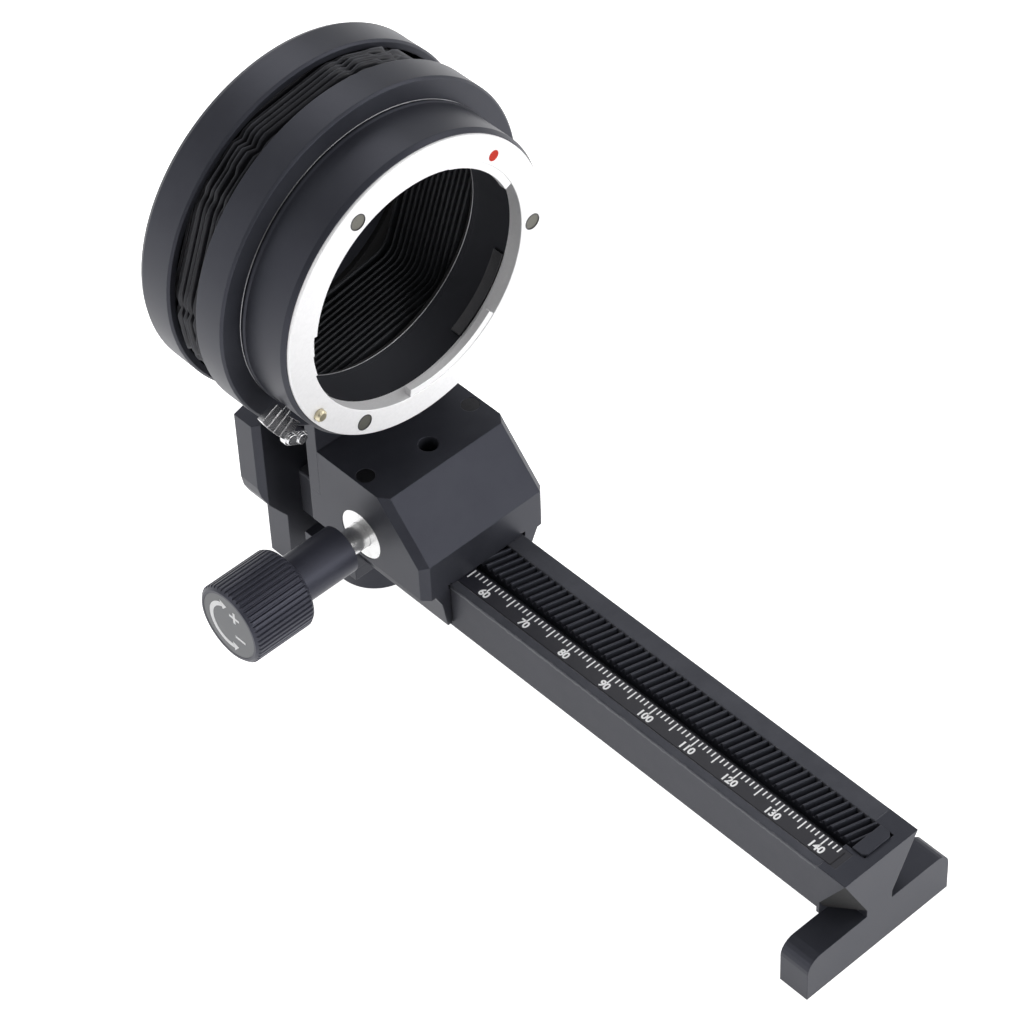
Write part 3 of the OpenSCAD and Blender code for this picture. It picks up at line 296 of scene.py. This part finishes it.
def plastic(name, colour, rough, mottleSize=1.2 * mm):
    material, tree, shader = newMaterial(name)
    mottle = noiseOn(tree, mottleSize, 4)
    darker = tuple(0.9 * c for c in colour)
    tree.links.new(ramp(tree, mottle, [(0.3, darker), (0.7, colour)]), shader.inputs["Base Color"])
    tree.links.new(spread(tree, mottle, rough - 0.06, rough + 0.06), shader.inputs["Roughness"])
    tree.links.new(bumpFrom(tree, mottle, 0.3, 0.01 * mm), shader.inputs["Normal"])
    return material


# coated cloth coloured by fold depth, from the folds nearest the axis to the outer crests: painted shade in
# the grooves and a painted highlight on the crests
clothFinish = {
    "foldShadeBands": [
        (0.0, (0.058, 0.062, 0.070)),
        (0.3, (0.046, 0.049, 0.056)),
        (0.48, (0.034, 0.036, 0.042)),
        (0.62, (0.009, 0.009, 0.012)),
        (0.84, (0.019, 0.0195, 0.026)),
        (0.93, (0.034, 0.035, 0.044)),
        (0.985, (0.115, 0.118, 0.135)),
    ],
    "mottleSize": 2.5 * mm,
    "mottleDark": 0.75,
    "thread": 0.22 * mm,
    "threadDepth": 0.02 * mm,
    "rough": (0.45, 0.6),
    "sheen": (0.15, 0.4),  # weight and roughness
}

# matt paint on the walls round the light path
throat = {
    "radius": 24.7,  # inside this distance from the axis the paint is matt
    "paint": (0.013, 0.0135, 0.0155),
    "rough": 0.62,
}


def withinAxis(tree, radius):
    # 1 nearer than radius metres to the lens axis, 0 further out
    place = addNode(tree, "ShaderNodeTexCoord")
    fromAxis = addNode(tree, "ShaderNodeVectorMath", operation="SUBTRACT")
    fromAxis.inputs[1].default_value = (0, 0, axisHeight * mm)
    tree.links.new(place.outputs["Object"], fromAxis.inputs[0])
    across = addNode(tree, "ShaderNodeVectorMath", operation="MULTIPLY")
    across.inputs[1].default_value = (1, 0, 1)
    tree.links.new(fromAxis.outputs[0], across.inputs[0])
    distance = addNode(tree, "ShaderNodeVectorMath", operation="LENGTH")
    tree.links.new(across.outputs[0], distance.inputs[0])
    mask = addNode(tree, "ShaderNodeMath", operation="LESS_THAN")
    mask.inputs[1].default_value = radius
    tree.links.new(distance.outputs["Value"], mask.inputs[0])
    return mask


def throatBlack(name, finish, inside):
    # satin black outside, matt black paint on the walls that look at the lens axis
    material = satinBlack(name, finish)
    tree = material.node_tree
    shader = tree.nodes["Principled BSDF"]
    mask = withinAxis(tree, inside["radius"] * mm)
    outerColour = shader.inputs["Base Color"].links[0].from_socket
    paint = mixColours(tree, mask.outputs[0], outerColour, inside["paint"])
    tree.links.new(paint, shader.inputs["Base Color"])
    outerRough = shader.inputs["Roughness"].links[0].from_socket
    matt = addNode(tree, "ShaderNodeMix", data_type="FLOAT")
    tree.links.new(mask.outputs[0], matt.inputs["Factor"])
    tree.links.new(outerRough, matt.inputs[2])
    matt.inputs[3].default_value = inside["rough"]
    tree.links.new(matt.outputs[0], shader.inputs["Roughness"])
    return material


def coatedCloth(name, finish):
    # fine crossed threads under a thin rubbery coat, with painted shade in the grooves and a painted
    # highlight on the crests
    material, tree, shader = newMaterial(name)
    mottle = noiseOn(tree, finish["mottleSize"], 4)
    fold = addNode(tree, "ShaderNodeAttribute", attribute_name="fold")
    foldShadeBands = ramp(tree, fold.outputs["Fac"], finish["foldShadeBands"])
    dull = addNode(tree, "ShaderNodeMix", data_type="RGBA", blend_type="MULTIPLY")
    dull.inputs["Factor"].default_value = 1
    tree.links.new(foldShadeBands, dull.inputs[6])
    dim = (finish["mottleDark"],) * 3
    tree.links.new(ramp(tree, mottle, [(0.35, dim), (0.65, (1, 1, 1))]), dull.inputs[7])
    tree.links.new(dull.outputs[2], shader.inputs["Base Color"])
    across = noiseOn(tree, finish["thread"], 2, 0.5, (1, 0.2, 1))
    along = noiseOn(tree, finish["thread"], 2, 0.5, (0.2, 1, 0.2))
    tree.links.new(spread(tree, mottle, *finish["rough"]), shader.inputs["Roughness"])
    weave = bumpFrom(tree, across, 0.5, finish["threadDepth"])
    tree.links.new(bumpFrom(tree, along, 0.5, finish["threadDepth"], weave), shader.inputs["Normal"])
    shader.inputs["Sheen Weight"].default_value = finish["sheen"][0]
    shader.inputs["Sheen Roughness"].default_value = finish["sheen"][1]
    return material


knobFinish = {
    **blackFinish,
    "dark": (0.030, 0.031, 0.042),
    "pale": (0.040, 0.041, 0.054),
    "rough": (0.34, 0.44),
    "grainDepth": 0.006 * mm,
    "edge": 0.1 * mm,
}
bodyBlack = satinBlack("bodyBlack", blackFinish)
railBlack = rubbedBlack("railBlack", railFinish, rubAndHighlightLine)
cheekBlack = satinBlack("cheekBlack", {**railFinish, "edge": 0.01 * mm, "wearShare": 0.0})
barrelBlack = throatBlack("barrelBlack", blackFinish, throat)
knobBlack = satinBlack("knobBlack", knobFinish)
mountSilver = metal(
    "mountSilver", (0.93, 0.925, 0.935), (0.4, 0.5), 0.5 * mm,
    depth=0.002 * mm, metallic=0.4, vary=0.95,
)
brightSteel = metal(
    "brightSteel", (0.80, 0.80, 0.80), (0.18, 0.28), 0.9 * mm, (1, 0.4, 0.4),
    depth=0.0015 * mm, metallic=0.9,
)
leverChrome = metal("leverChrome", (0.78, 0.78, 0.79), (0.10, 0.2), 0.6 * mm)
paleBrass = metal("paleBrass", (0.62, 0.56, 0.40), (0.25, 0.36), 0.3 * mm)
screwSteel = metal("screwSteel", (0.15, 0.147, 0.13), (0.38, 0.5), 0.3 * mm)
blackSteel = metal("blackSteel", (0.07, 0.07, 0.075), (0.35, 0.5), 0.3 * mm)
springSteel = metal("springSteel", (0.10, 0.10, 0.105), (0.28, 0.38), 0.3 * mm)
redEnamel = plastic("redEnamel", (0.62, 0.022, 0.006), 0.45)
redEnamel.node_tree.nodes["Principled BSDF"].inputs["Specular IOR Level"].default_value = 0.2
boardBlack = plastic("boardBlack", (0.012, 0.012, 0.013), 0.8)
slideWhite = plastic("slideWhite", (0.78, 0.77, 0.72), 0.4)
labelGrey = plastic("labelGrey", (0.12, 0.125, 0.135), 0.4)
scaleBlack = plastic("scaleBlack", (0.016, 0.016, 0.024), 0.38)
markWhite = plastic("markWhite", (0.97, 0.97, 0.98), 0.45, 0.3 * mm)
seamShadeBlack = plastic("seamShadeBlack", (0.006, 0.006, 0.009), 0.7)
edgeHighlightMetal = metal("edgeHighlightMetal", (0.46, 0.46, 0.48), (0.25, 0.4), 1.5 * mm, metallic=0.8)
pleatCloth = coatedCloth("pleatCloth", clothFinish)

finishes = {
    "black_anodised": bodyBlack,
    "black_knob": knobBlack,
    "silver_mount": mountSilver,
    "bright_steel": brightSteel,
    "lever_chrome": leverChrome,
    "brass": paleBrass,
    "screw_steel": screwSteel,
    "black_steel": blackSteel,
    "red_enamel": redEnamel,
    "bellows_cloth": pleatCloth,
    "frame_board": boardBlack,
    "slide_plastic": slideWhite,
    "label_grey": labelGrey,
    "scale_dark": scaleBlack,
    "spring_steel": springSteel,
}

# nodes whose finish differs from what their slot has
ownFinish = {"front_barrel": barrelBlack, "front_standard": barrelBlack, "rail": railBlack}


def dressNodes():
    for entry in frame["record"]["subparts"]:
        mesh = nodes[entry["node"]].data
        mesh.materials.clear()
        mesh.materials.append(ownFinish.get(entry["node"], finishes[entry["material_slot"]]))


dressNodes()
print("materials on the nodes")


def newPiece(name, points, faces, material, smooth=False):
    # a mesh piece given in millimetres
    mesh = bpy.data.meshes.new(name)
    mesh.from_pydata([[mm * v for v in p] for p in points], [], faces)
    mesh.validate()
    mesh.materials.append(material)
    if smooth:
        mesh.shade_smooth()
    piece = bpy.data.objects.new(name, mesh)
    bpy.context.scene.collection.objects.link(piece)
    return piece


# the cloth runs in a six-sided tube from the front frame to the rear one
pleats = {
    "front": -3.9,
    "back": 13.0,
    "count": 13,
    "sides": 6,
    "turn": 9,  # degrees of the first corner
    "alongSide": 24,  # points along a side
    "steps": 12,  # rings of points in a fold
    "evenShare": 0.7,  # how evenly the folds are spaced
    "hollow": 1.2,  # how hollow a fold's flanks are
    "valley": 24.3,  # distance of the inner folds from the axis
    "ridge": 30.3,  # and of the outer folds inside the rings
    "openRidge": 30.9,  # the same between the rings
    "opens": (0.4, 1.5),  # Y over which the folds reach out behind the front ring
    "closes": (6.8, 7.9),  # and draw in again before the rear one
    "valleyCut": 2.0,
    "cornerCut": 10.5,  # degrees to each side at which a ridge's corner is cut off
    "cornerSoft": 1.6,
    "creaseWide": 1.9,  # degrees
    "cutBlend": 3,
    "crumple": 0.16,  # share of a fold's depth that is lost at the cut corners
    "bulge": 0.34,
    "lean": 0.1,  # this and the next two are shares of a fold's length
    "cutLean": 0.06,
    "zigzag": (0.2, -0.14),
    "ripple": 0.05,
    "ripplesAround": 4,
    "rippleStep": 1.3,
    "glue": 3.0,  # width that is glued to the frames
    "seed": 5,
}


def smoothStep(low, high, value):
    t = min(1, max(0, (value - low) / (high - low)))
    return t * t * (3 - 2 * t)


def pleatPlaces(count, evenShare):
    # places from 0 to 1 that lie a little closer in the middle, where the cloth opens most
    places = []
    for k in range(count + 1):
        want, low, high = k / count, 0.0, 1.0
        for _ in range(40):
            half = (low + high) / 2
            if half * half * (3 - 2 * half) < want:
                low = half
            else:
                high = half
        places.append(evenShare * want + (1 - evenShare) * low)
    return places


def softPolygon(degreesFromCorner, half, cut, blur):
    # distance of a flat-sided outline with cut corners, as a multiple of its flats' distance
    def cosine(degrees):
        return math.cos(math.radians(degrees))

    def sharp(a):
        a = abs(a)
        if a > cut:
            return 1 / cosine(half - a)
        return cosine(cut) / cosine(half - cut) / cosine(a)

    wrapped = (degreesFromCorner + half) % (2 * half) - half
    return sum(sharp(wrapped + d * blur) * w for d, w in ((-1, 0.25), (0, 0.5), (1, 0.25)))


def foldShape(phase, hollow):
    # 0 in the valley and 1 on the ridge, with hollow sides that leave the crest narrow
    return (1 - abs(2 * phase - 1)) ** hollow


def makeBellows(cloth):
    dice = random.Random(cloth["seed"])
    places = pleatPlaces(cloth["count"], cloth["evenShare"])
    length = cloth["back"] - cloth["front"]
    around = cloth["sides"] * cloth["alongSide"]
    half = 180 / cloth["sides"]
    # each fold leans and bulges a little in its own way on every side
    leans = [[dice.uniform(-1, 1) for _ in range(cloth["sides"])] for _ in range(cloth["count"])]
    bulges = [[dice.uniform(-1, 1) for _ in range(cloth["sides"])] for _ in range(cloth["count"])]
    points, folds = [], []

    def addRing(k, phase, extra=0.0):
        here, after = places[k], places[k + 1]
        pitch = (after - here) * length
        y = cloth["front"] + (here + (after - here) * phase) * length
        openness = smoothStep(*cloth["opens"], y) * (1 - smoothStep(*cloth["closes"], y))
        ridge = cloth["ridge"] + (cloth["openRidge"] - cloth["ridge"]) * openness
        shape = foldShape(phase, cloth["hollow"])
        for i in range(around):
            fromCorner = 2 * half * i / cloth["alongSide"]  # degrees
            side = int(fromCorner // (2 * half))
            wrapped = (fromCorner + half) % (2 * half) - half
            beyondCut = abs(wrapped) - cloth["cornerCut"]
            atCut = math.exp(-(beyondCut / cloth["creaseWide"]) ** 2)
            inCut = 1 - smoothStep(-cloth["cutBlend"], cloth["cutBlend"], beyondCut)
            inner = cloth["valley"] * softPolygon(fromCorner, half, cloth["valleyCut"], cloth["cornerSoft"])
            outer = ridge * softPolygon(fromCorner, half, cloth["cornerCut"], cloth["cornerSoft"])
            radius = inner + (outer - inner) * shape * (1 - cloth["crumple"] * atCut)
            radius += cloth["bulge"] * bulges[k][side] * shape * (1 - atCut) + extra
            folds.append(shape)
            # on the cut corners the folds zigzag against their neighbours
            shift = cloth["lean"] * leans[k][side] * (1 - atCut)
            shift += cloth["zigzag"][0 if wrapped > 0 else 1] * atCut
            shift += cloth["cutLean"] * leans[k][(side + 2) % cloth["sides"]] * inCut
            turn = math.radians(cloth["turn"] + fromCorner)
            wide = cloth["ripplesAround"]
            spot = Vector((wide * math.cos(turn), wide * math.sin(turn), cloth["rippleStep"] * k))
            ripple = cloth["ripple"] * noise.noise(spot)
            points.append((
                radius * math.cos(turn),
                y + (shift * pitch + ripple) * shape,
                axisHeight + radius * math.sin(turn),
            ))

    last = cloth["count"] - 1
    addRing(0, 0.0, cloth["glue"])
    for k in range(cloth["count"]):
        for j in range(cloth["steps"]):
            addRing(k, j / cloth["steps"])
    addRing(last, 1.0)
    addRing(last, 1.0, cloth["glue"])
    faces = []
    for low in range(0, len(points) - around, around):
        high = low + around
        for i in range(around):
            after = (i + 1) % around
            faces.append((low + i, low + after, high + after, high + i))
    piece = newPiece("bellowsCloth", points, faces, pleatCloth, smooth=True)
    piece.data.attributes.new("fold", "FLOAT", "POINT").data.foreach_set("value", folds)
    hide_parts("bellows")
    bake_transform(piece)


makeBellows(pleats)
print("bellows folded")

# fine pale metal hoops on the edges of the lens end's walls as painted highlights, and dark rings round the
# mount's screws as painted shade of their countersinks
hoops = {
    "throatLip": (-4.93, 23.87, 0.09),  # Y, radius, thickness
    "barrelLip": (-5.97, 29.36, 0.1),
    "screwShadeRing": (-17.31, 1.5, 0.09),
    "screws": [(25.05, 118), (26.2, -4.5), (26.1, 238)],  # distance from the axis and degrees
}


def addHoop(points, faces, centre, radius, thick, around=160, section=8):
    # a thin ring whose axis is along Y
    base = len(points)
    for i in range(around):
        turn = 2 * math.pi * i / around
        for j in range(section):
            roll = 2 * math.pi * j / section
            out = radius + thick * math.cos(roll)
            points.append((
                centre[0] + out * math.cos(turn),
                centre[1] + thick * math.sin(roll),
                centre[2] + out * math.sin(turn),
            ))
    for i in range(around):
        for j in range(section):
            a, b = i * section + j, i * section + (j + 1) % section
            c, d = ((i + 1) % around) * section + j, ((i + 1) % around) * section + (j + 1) % section
            faces.append((base + a, base + b, base + d, base + c))


def makeHoops(rings):
    # the pale hoops are painted highlights on the walls' edges
    for name in ("throatLip", "barrelLip"):
        y, radius, thick = rings[name]
        points, faces = [], []
        addHoop(points, faces, (0, y, axisHeight), radius, thick)
        piece = newPiece(name, points, faces, edgeHighlightMetal, smooth=True)
        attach(piece, "carriage")
    points, faces = [], []
    # the dark rings round the screws are painted shade of their countersinks
    y, radius, thick = rings["screwShadeRing"]
    for distance, degrees in rings["screws"]:
        turn = math.radians(degrees)
        place = (distance * math.cos(turn), y, axisHeight + distance * math.sin(turn))
        addHoop(points, faces, place, radius, thick, around=48)
    piece = newPiece("screwShadeRings", points, faces, blackSteel, smooth=True)
    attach(piece, "carriage")


makeHoops(hoops)
print("lips and gaps laid")

# white marks and numbers along the rail, in millimetres from a zero behind the tripod socket
railScale = {
    "zero": 23.6,
    "first": 30,
    "last": 143,
    "numbers": range(30, 150, 10),
    "edge": -3.0,  # inner end of the ticks
    "short": 1.15,
    "long": 2.15,
    "tickWide": 0.27,
    "top": 22.17,
    "thick": 0.015,
    "numberPlace": -5.7,
    "numberSize": 2.1,
    "bold": 0.035,
    "seamLift": (0.01, 0.05),
    "seams": [  # painted shade in the seams beside the scale strip: low and high X, low and high Y
        (-6.95, -6.83, -120.4, -30),
        (-6.8, -3.35, -120.52, -120.34),
    ],
}


def addSlab(points, faces, low, high):
    base = len(points)
    (x0, y0, z0), (x1, y1, z1) = low, high
    for z in (z0, z1):
        points.extend([(x0, y0, z), (x1, y0, z), (x1, y1, z), (x0, y1, z)])
    quads = [(3, 2, 1, 0), (4, 5, 6, 7), (0, 1, 5, 4), (1, 2, 6, 5), (2, 3, 7, 6), (3, 0, 4, 7)]
    faces.extend([tuple(base + v for v in quad) for quad in quads])


def addWords(points, faces, words, size, place, right, up, thick, bold=0.012):
    # flat characters with their middle at place, reading along right
    letters = bpy.data.curves.new("letters", "FONT")
    letters.body = words
    letters.size = size
    letters.align_x = "CENTER"
    letters.align_y = "CENTER"
    letters.extrude = thick / 2
    letters.offset = bold * size
    letters.resolution_u = 4
    holder = bpy.data.objects.new("letters", letters)
    bpy.context.scene.collection.objects.link(holder)
    bpy.context.view_layer.update()
    mesh = bpy.data.meshes.new_from_object(holder)
    out = Vector(right).cross(Vector(up))
    turned = Matrix((Vector(right), Vector(up), out)).transposed()
    base = len(points)
    spans = [[v.co[axis] for v in mesh.vertices] for axis in (0, 1)]
    middle = [(min(span) + max(span)) / 2 for span in spans]
    for vertex in mesh.vertices:
        local = Vector((vertex.co.x - middle[0], vertex.co.y - middle[1], vertex.co.z + thick / 2))
        points.append(tuple(Vector(place) + turned @ local))
    faces.extend([tuple(base + v for v in face.vertices) for face in mesh.polygons])
    bpy.data.objects.remove(holder)
    bpy.data.meshes.remove(mesh)
    bpy.data.curves.remove(letters)


def makeScale(marks):
    points, faces = [], []
    top = marks["top"]
    for reading in range(marks["first"], marks["last"] + 1):
        y = marks["zero"] - reading
        reach = marks["long"] if reading % 5 == 0 else marks["short"]
        addSlab(
            points, faces,
            (marks["edge"] - reach, y - marks["tickWide"] / 2, top),
            (marks["edge"], y + marks["tickWide"] / 2, top + marks["thick"]),
        )
    for number in marks["numbers"]:
        place = (marks["numberPlace"], marks["zero"] - number, top)
        addWords(
            points, faces, str(number), marks["numberSize"], place,
            (0, -1, 0), (1, 0, 0), marks["thick"], marks["bold"],
        )
    piece = newPiece("scaleMarks", points, faces, markWhite)
    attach(piece, "rail")
    points, faces = [], []
    # the seams' dark slabs are painted shade
    low, high = marks["seamLift"]
    for x0, x1, y0, y1 in marks["seams"]:
        addSlab(points, faces, (x0, y0, top + low), (x1, y1, top + high))
    piece = newPiece("scaleSeamShade", points, faces, seamShadeBlack)
    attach(piece, "rail")


makeScale(railScale)

# between the rail's end and the foot's narrow neck the side runs on as a three-cornered cheek
cheeks = {
    "halfRail": 8.67,
    "halfNeck": 3.0,
    "front": -125.46,
    "back": -118.9,
    "innerBack": -119.35,
    "top": 22.19,
    "bottom": 11.8,
    "waist": 11.2,
    "flush": 0.95,  # faces that look less than this to the side are the undercut
}


def makeCheeks(shape):
    points, faces = [], []
    for side in (-1, 1):
        base = len(points)
        points += [
            (side * shape["halfRail"], shape["front"], shape["top"]),
            (side * shape["halfRail"], shape["back"], shape["top"]),
            (side * shape["halfRail"], shape["back"], shape["bottom"]),
            (side * shape["halfNeck"], shape["innerBack"], shape["waist"]),
            (side * shape["halfNeck"], shape["front"], shape["waist"]),
        ]
        for face in ((0, 1, 2), (0, 2, 4), (2, 3, 4), (1, 3, 2), (0, 4, 3), (0, 3, 1)):
            faces.append(tuple(base + v for v in (face if side < 0 else face[::-1])))
    piece = newPiece("neckCheeks", points, faces, cheekBlack)
    # the undercut faces take the matt board black, as painted shade
    piece.data.materials.append(boardBlack)
    for face in piece.data.polygons:
        if abs(face.normal.x) < shape["flush"]:
            face.material_index = 1
    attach(piece, "rail")


makeCheeks(cheeks)

# a bent two-headed arrow, a plus and a minus on the knob's end
knobMarks = {
    "face": -44.9,
    "centre": (-14.4, 27.2),  # Y and Z of the shaft
    "arcRadius": 4.55,
    "arcWide": 0.95,
    "arcFrom": 108,
    "arcTo": 282,
    "arcSteps": 36,
    "headLong": 17,  # degrees
    "headWide": 2.0,
    "plus": (1.75, 3.1),
    "minus": (2.9, -1.5),
    "signSize": 5.2,
    "thick": 0.02,
}


def makeKnobMarks(marks):
    points, faces = [], []
    x0, x1 = marks["face"], marks["face"] - marks["thick"]
    y0, z0 = marks["centre"]

    def at(radius, degrees, x):
        turn = math.radians(degrees)
        return (x, y0 - radius * math.cos(turn), z0 + radius * math.sin(turn))

    steps = marks["arcSteps"]
    for k in range(steps + 1):
        turn = marks["arcFrom"] + (marks["arcTo"] - marks["arcFrom"]) * k / steps
        for x in (x0, x1):
            points.append(at(marks["arcRadius"] - marks["arcWide"] / 2, turn, x))
            points.append(at(marks["arcRadius"] + marks["arcWide"] / 2, turn, x))
    for k in range(steps):
        a, b = 4 * k, 4 * k + 4
        faces += [(a + 2, a + 3, b + 3, b + 2), (a, a + 2, b + 2, b), (a + 1, b + 1, b + 3, a + 3)]
    for turn, way in ((marks["arcFrom"], -1), (marks["arcTo"], 1)):
        base = len(points)
        for x in (x0, x1):
            points.append(at(marks["arcRadius"] - marks["headWide"] / 2, turn - way, x))
            points.append(at(marks["arcRadius"] + marks["headWide"] / 2, turn - way, x))
            points.append(at(marks["arcRadius"], turn + way * marks["headLong"], x))
        faces.append((base + 3, base + 4, base + 5))
        faces += [(base, base + 1, base + 4, base + 3), (base + 1, base + 2, base + 5, base + 4)]
        faces.append((base + 2, base, base + 3, base + 5))
    for sign, place in (("+", marks["plus"]), ("\u2212", marks["minus"])):
        middle = (x0, y0 - place[0], z0 + place[1])
        addWords(points, faces, sign, marks["signSize"], middle, (0, -1, 0), (0, 0, 1), marks["thick"])
    piece = newPiece("knobMarks", points, faces, markWhite)
    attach(piece, "focus_shaft")


makeKnobMarks(knobMarks)
print("marks printed")

# a white room that is darkest behind the camera
studio = {
    "floorSize": 6.0,
    "floorDrop": 0.02 * mm,
    "floorColour": (0.82, 0.82, 0.82),
    "floorRough": 0.9,
    "floorGloss": 0.1,
    "lamps": [  # name, place, aim, size, watts
        ("leftWindow", (-1.5, 0.5, 0.7), (0, -0.02, 0.03), 1.0, 5),
        ("rightWindow", (1.3, -0.9, 1.0), (0, -0.02, 0.03), 1.0, 7),
        ("backWindow", (0.6, 1.4, 1.2), (0, -0.02, 0.03), 1.0, 7),
        ("frontLow", (0.3, -1.7, 0.6), (0, -0.02, 0.05), 0.9, 12),
    ],
    "horizon": 0.66,
    "zenith": 0.55,
    "heights": (0.05, 0.7),  # how far up the first passes into the second
    "darkSide": (-0.456, -0.524, 0.719),  # the room is darkest here
    "darkFrom": (0.35, 0.92),
    "darkest": 0.42,
    "floorGlow": 0.95,
}


def makeStudio(setup):
    for name, place, aim, size, watts in setup["lamps"]:
        lamp = bpy.data.lights.new(name, "AREA")
        lamp.shape = "SQUARE"
        lamp.size = size
        lamp.energy = watts
        holder = bpy.data.objects.new(name, lamp)
        bpy.context.scene.collection.objects.link(holder)
        holder.location = place
        holder.rotation_mode = "QUATERNION"
        holder.rotation_quaternion = (Vector(aim) - Vector(place)).to_track_quat("-Z", "Y")
    world = bpy.data.worlds.new("whiteRoom")
    bpy.context.scene.world = world
    world.use_nodes = True
    tree = world.node_tree
    background = tree.nodes["Background"]
    background.inputs["Color"].default_value = (1, 1, 1, 1)
    sky = addNode(tree, "ShaderNodeTexCoord")
    parts = addNode(tree, "ShaderNodeSeparateXYZ")
    tree.links.new(sky.outputs["Generated"], parts.inputs[0])
    height = addNode(tree, "ShaderNodeMapRange")
    height.inputs["From Min"].default_value = setup["heights"][0]
    height.inputs["From Max"].default_value = setup["heights"][1]
    height.inputs["To Min"].default_value = setup["horizon"]
    height.inputs["To Max"].default_value = setup["zenith"]
    tree.links.new(parts.outputs["Z"], height.inputs["Value"])
    towards = addNode(tree, "ShaderNodeVectorMath", operation="DOT_PRODUCT")
    towards.inputs[1].default_value = setup["darkSide"]
    tree.links.new(sky.outputs["Generated"], towards.inputs[0])
    shade = addNode(tree, "ShaderNodeMapRange", interpolation_type="SMOOTHSTEP")
    shade.inputs["From Min"].default_value = setup["darkFrom"][0]
    shade.inputs["From Max"].default_value = setup["darkFrom"][1]
    shade.inputs["To Min"].default_value = 1
    shade.inputs["To Max"].default_value = setup["darkest"]
    tree.links.new(towards.outputs["Value"], shade.inputs["Value"])
    rays = addNode(tree, "ShaderNodeLightPath")
    seen = addNode(tree, "ShaderNodeMath", operation="MAXIMUM")
    tree.links.new(rays.outputs["Is Camera Ray"], seen.inputs[0])
    tree.links.new(times(tree, height.outputs["Result"], shade.outputs["Result"]), seen.inputs[1])
    tree.links.new(seen.outputs[0], background.inputs["Strength"])

    half = setup["floorSize"] / 2
    mesh = bpy.data.meshes.new("floor")
    corners = [(-half, -half, 0), (half, -half, 0), (half, half, 0), (-half, half, 0)]
    mesh.from_pydata(corners, [], [(0, 1, 2, 3)])
    floor = bpy.data.objects.new("floor", mesh)
    bpy.context.scene.collection.objects.link(floor)
    floor.location.z = -setup["floorDrop"]
    material, tree, shader = newMaterial("paleFloor")
    shader.inputs["Base Color"].default_value = (*setup["floorColour"], 1)
    shader.inputs["Roughness"].default_value = setup["floorRough"]
    shader.inputs["Specular IOR Level"].default_value = setup["floorGloss"]
    rays = addNode(tree, "ShaderNodeLightPath")
    seen = addNode(tree, "ShaderNodeMath", operation="MAXIMUM")
    tree.links.new(rays.outputs["Is Camera Ray"], seen.inputs[0])
    tree.links.new(rays.outputs["Is Glossy Ray"], seen.inputs[1])
    shader.inputs["Emission Color"].default_value = (1, 1, 1, 1)
    glow = spread(tree, seen.outputs[0], 0, setup["floorGlow"])
    tree.links.new(glow, shader.inputs["Emission Strength"])
    mesh.materials.append(material)


makeStudio(studio)
bpy.context.scene.view_settings.view_transform = "Standard"
print("studio lit")
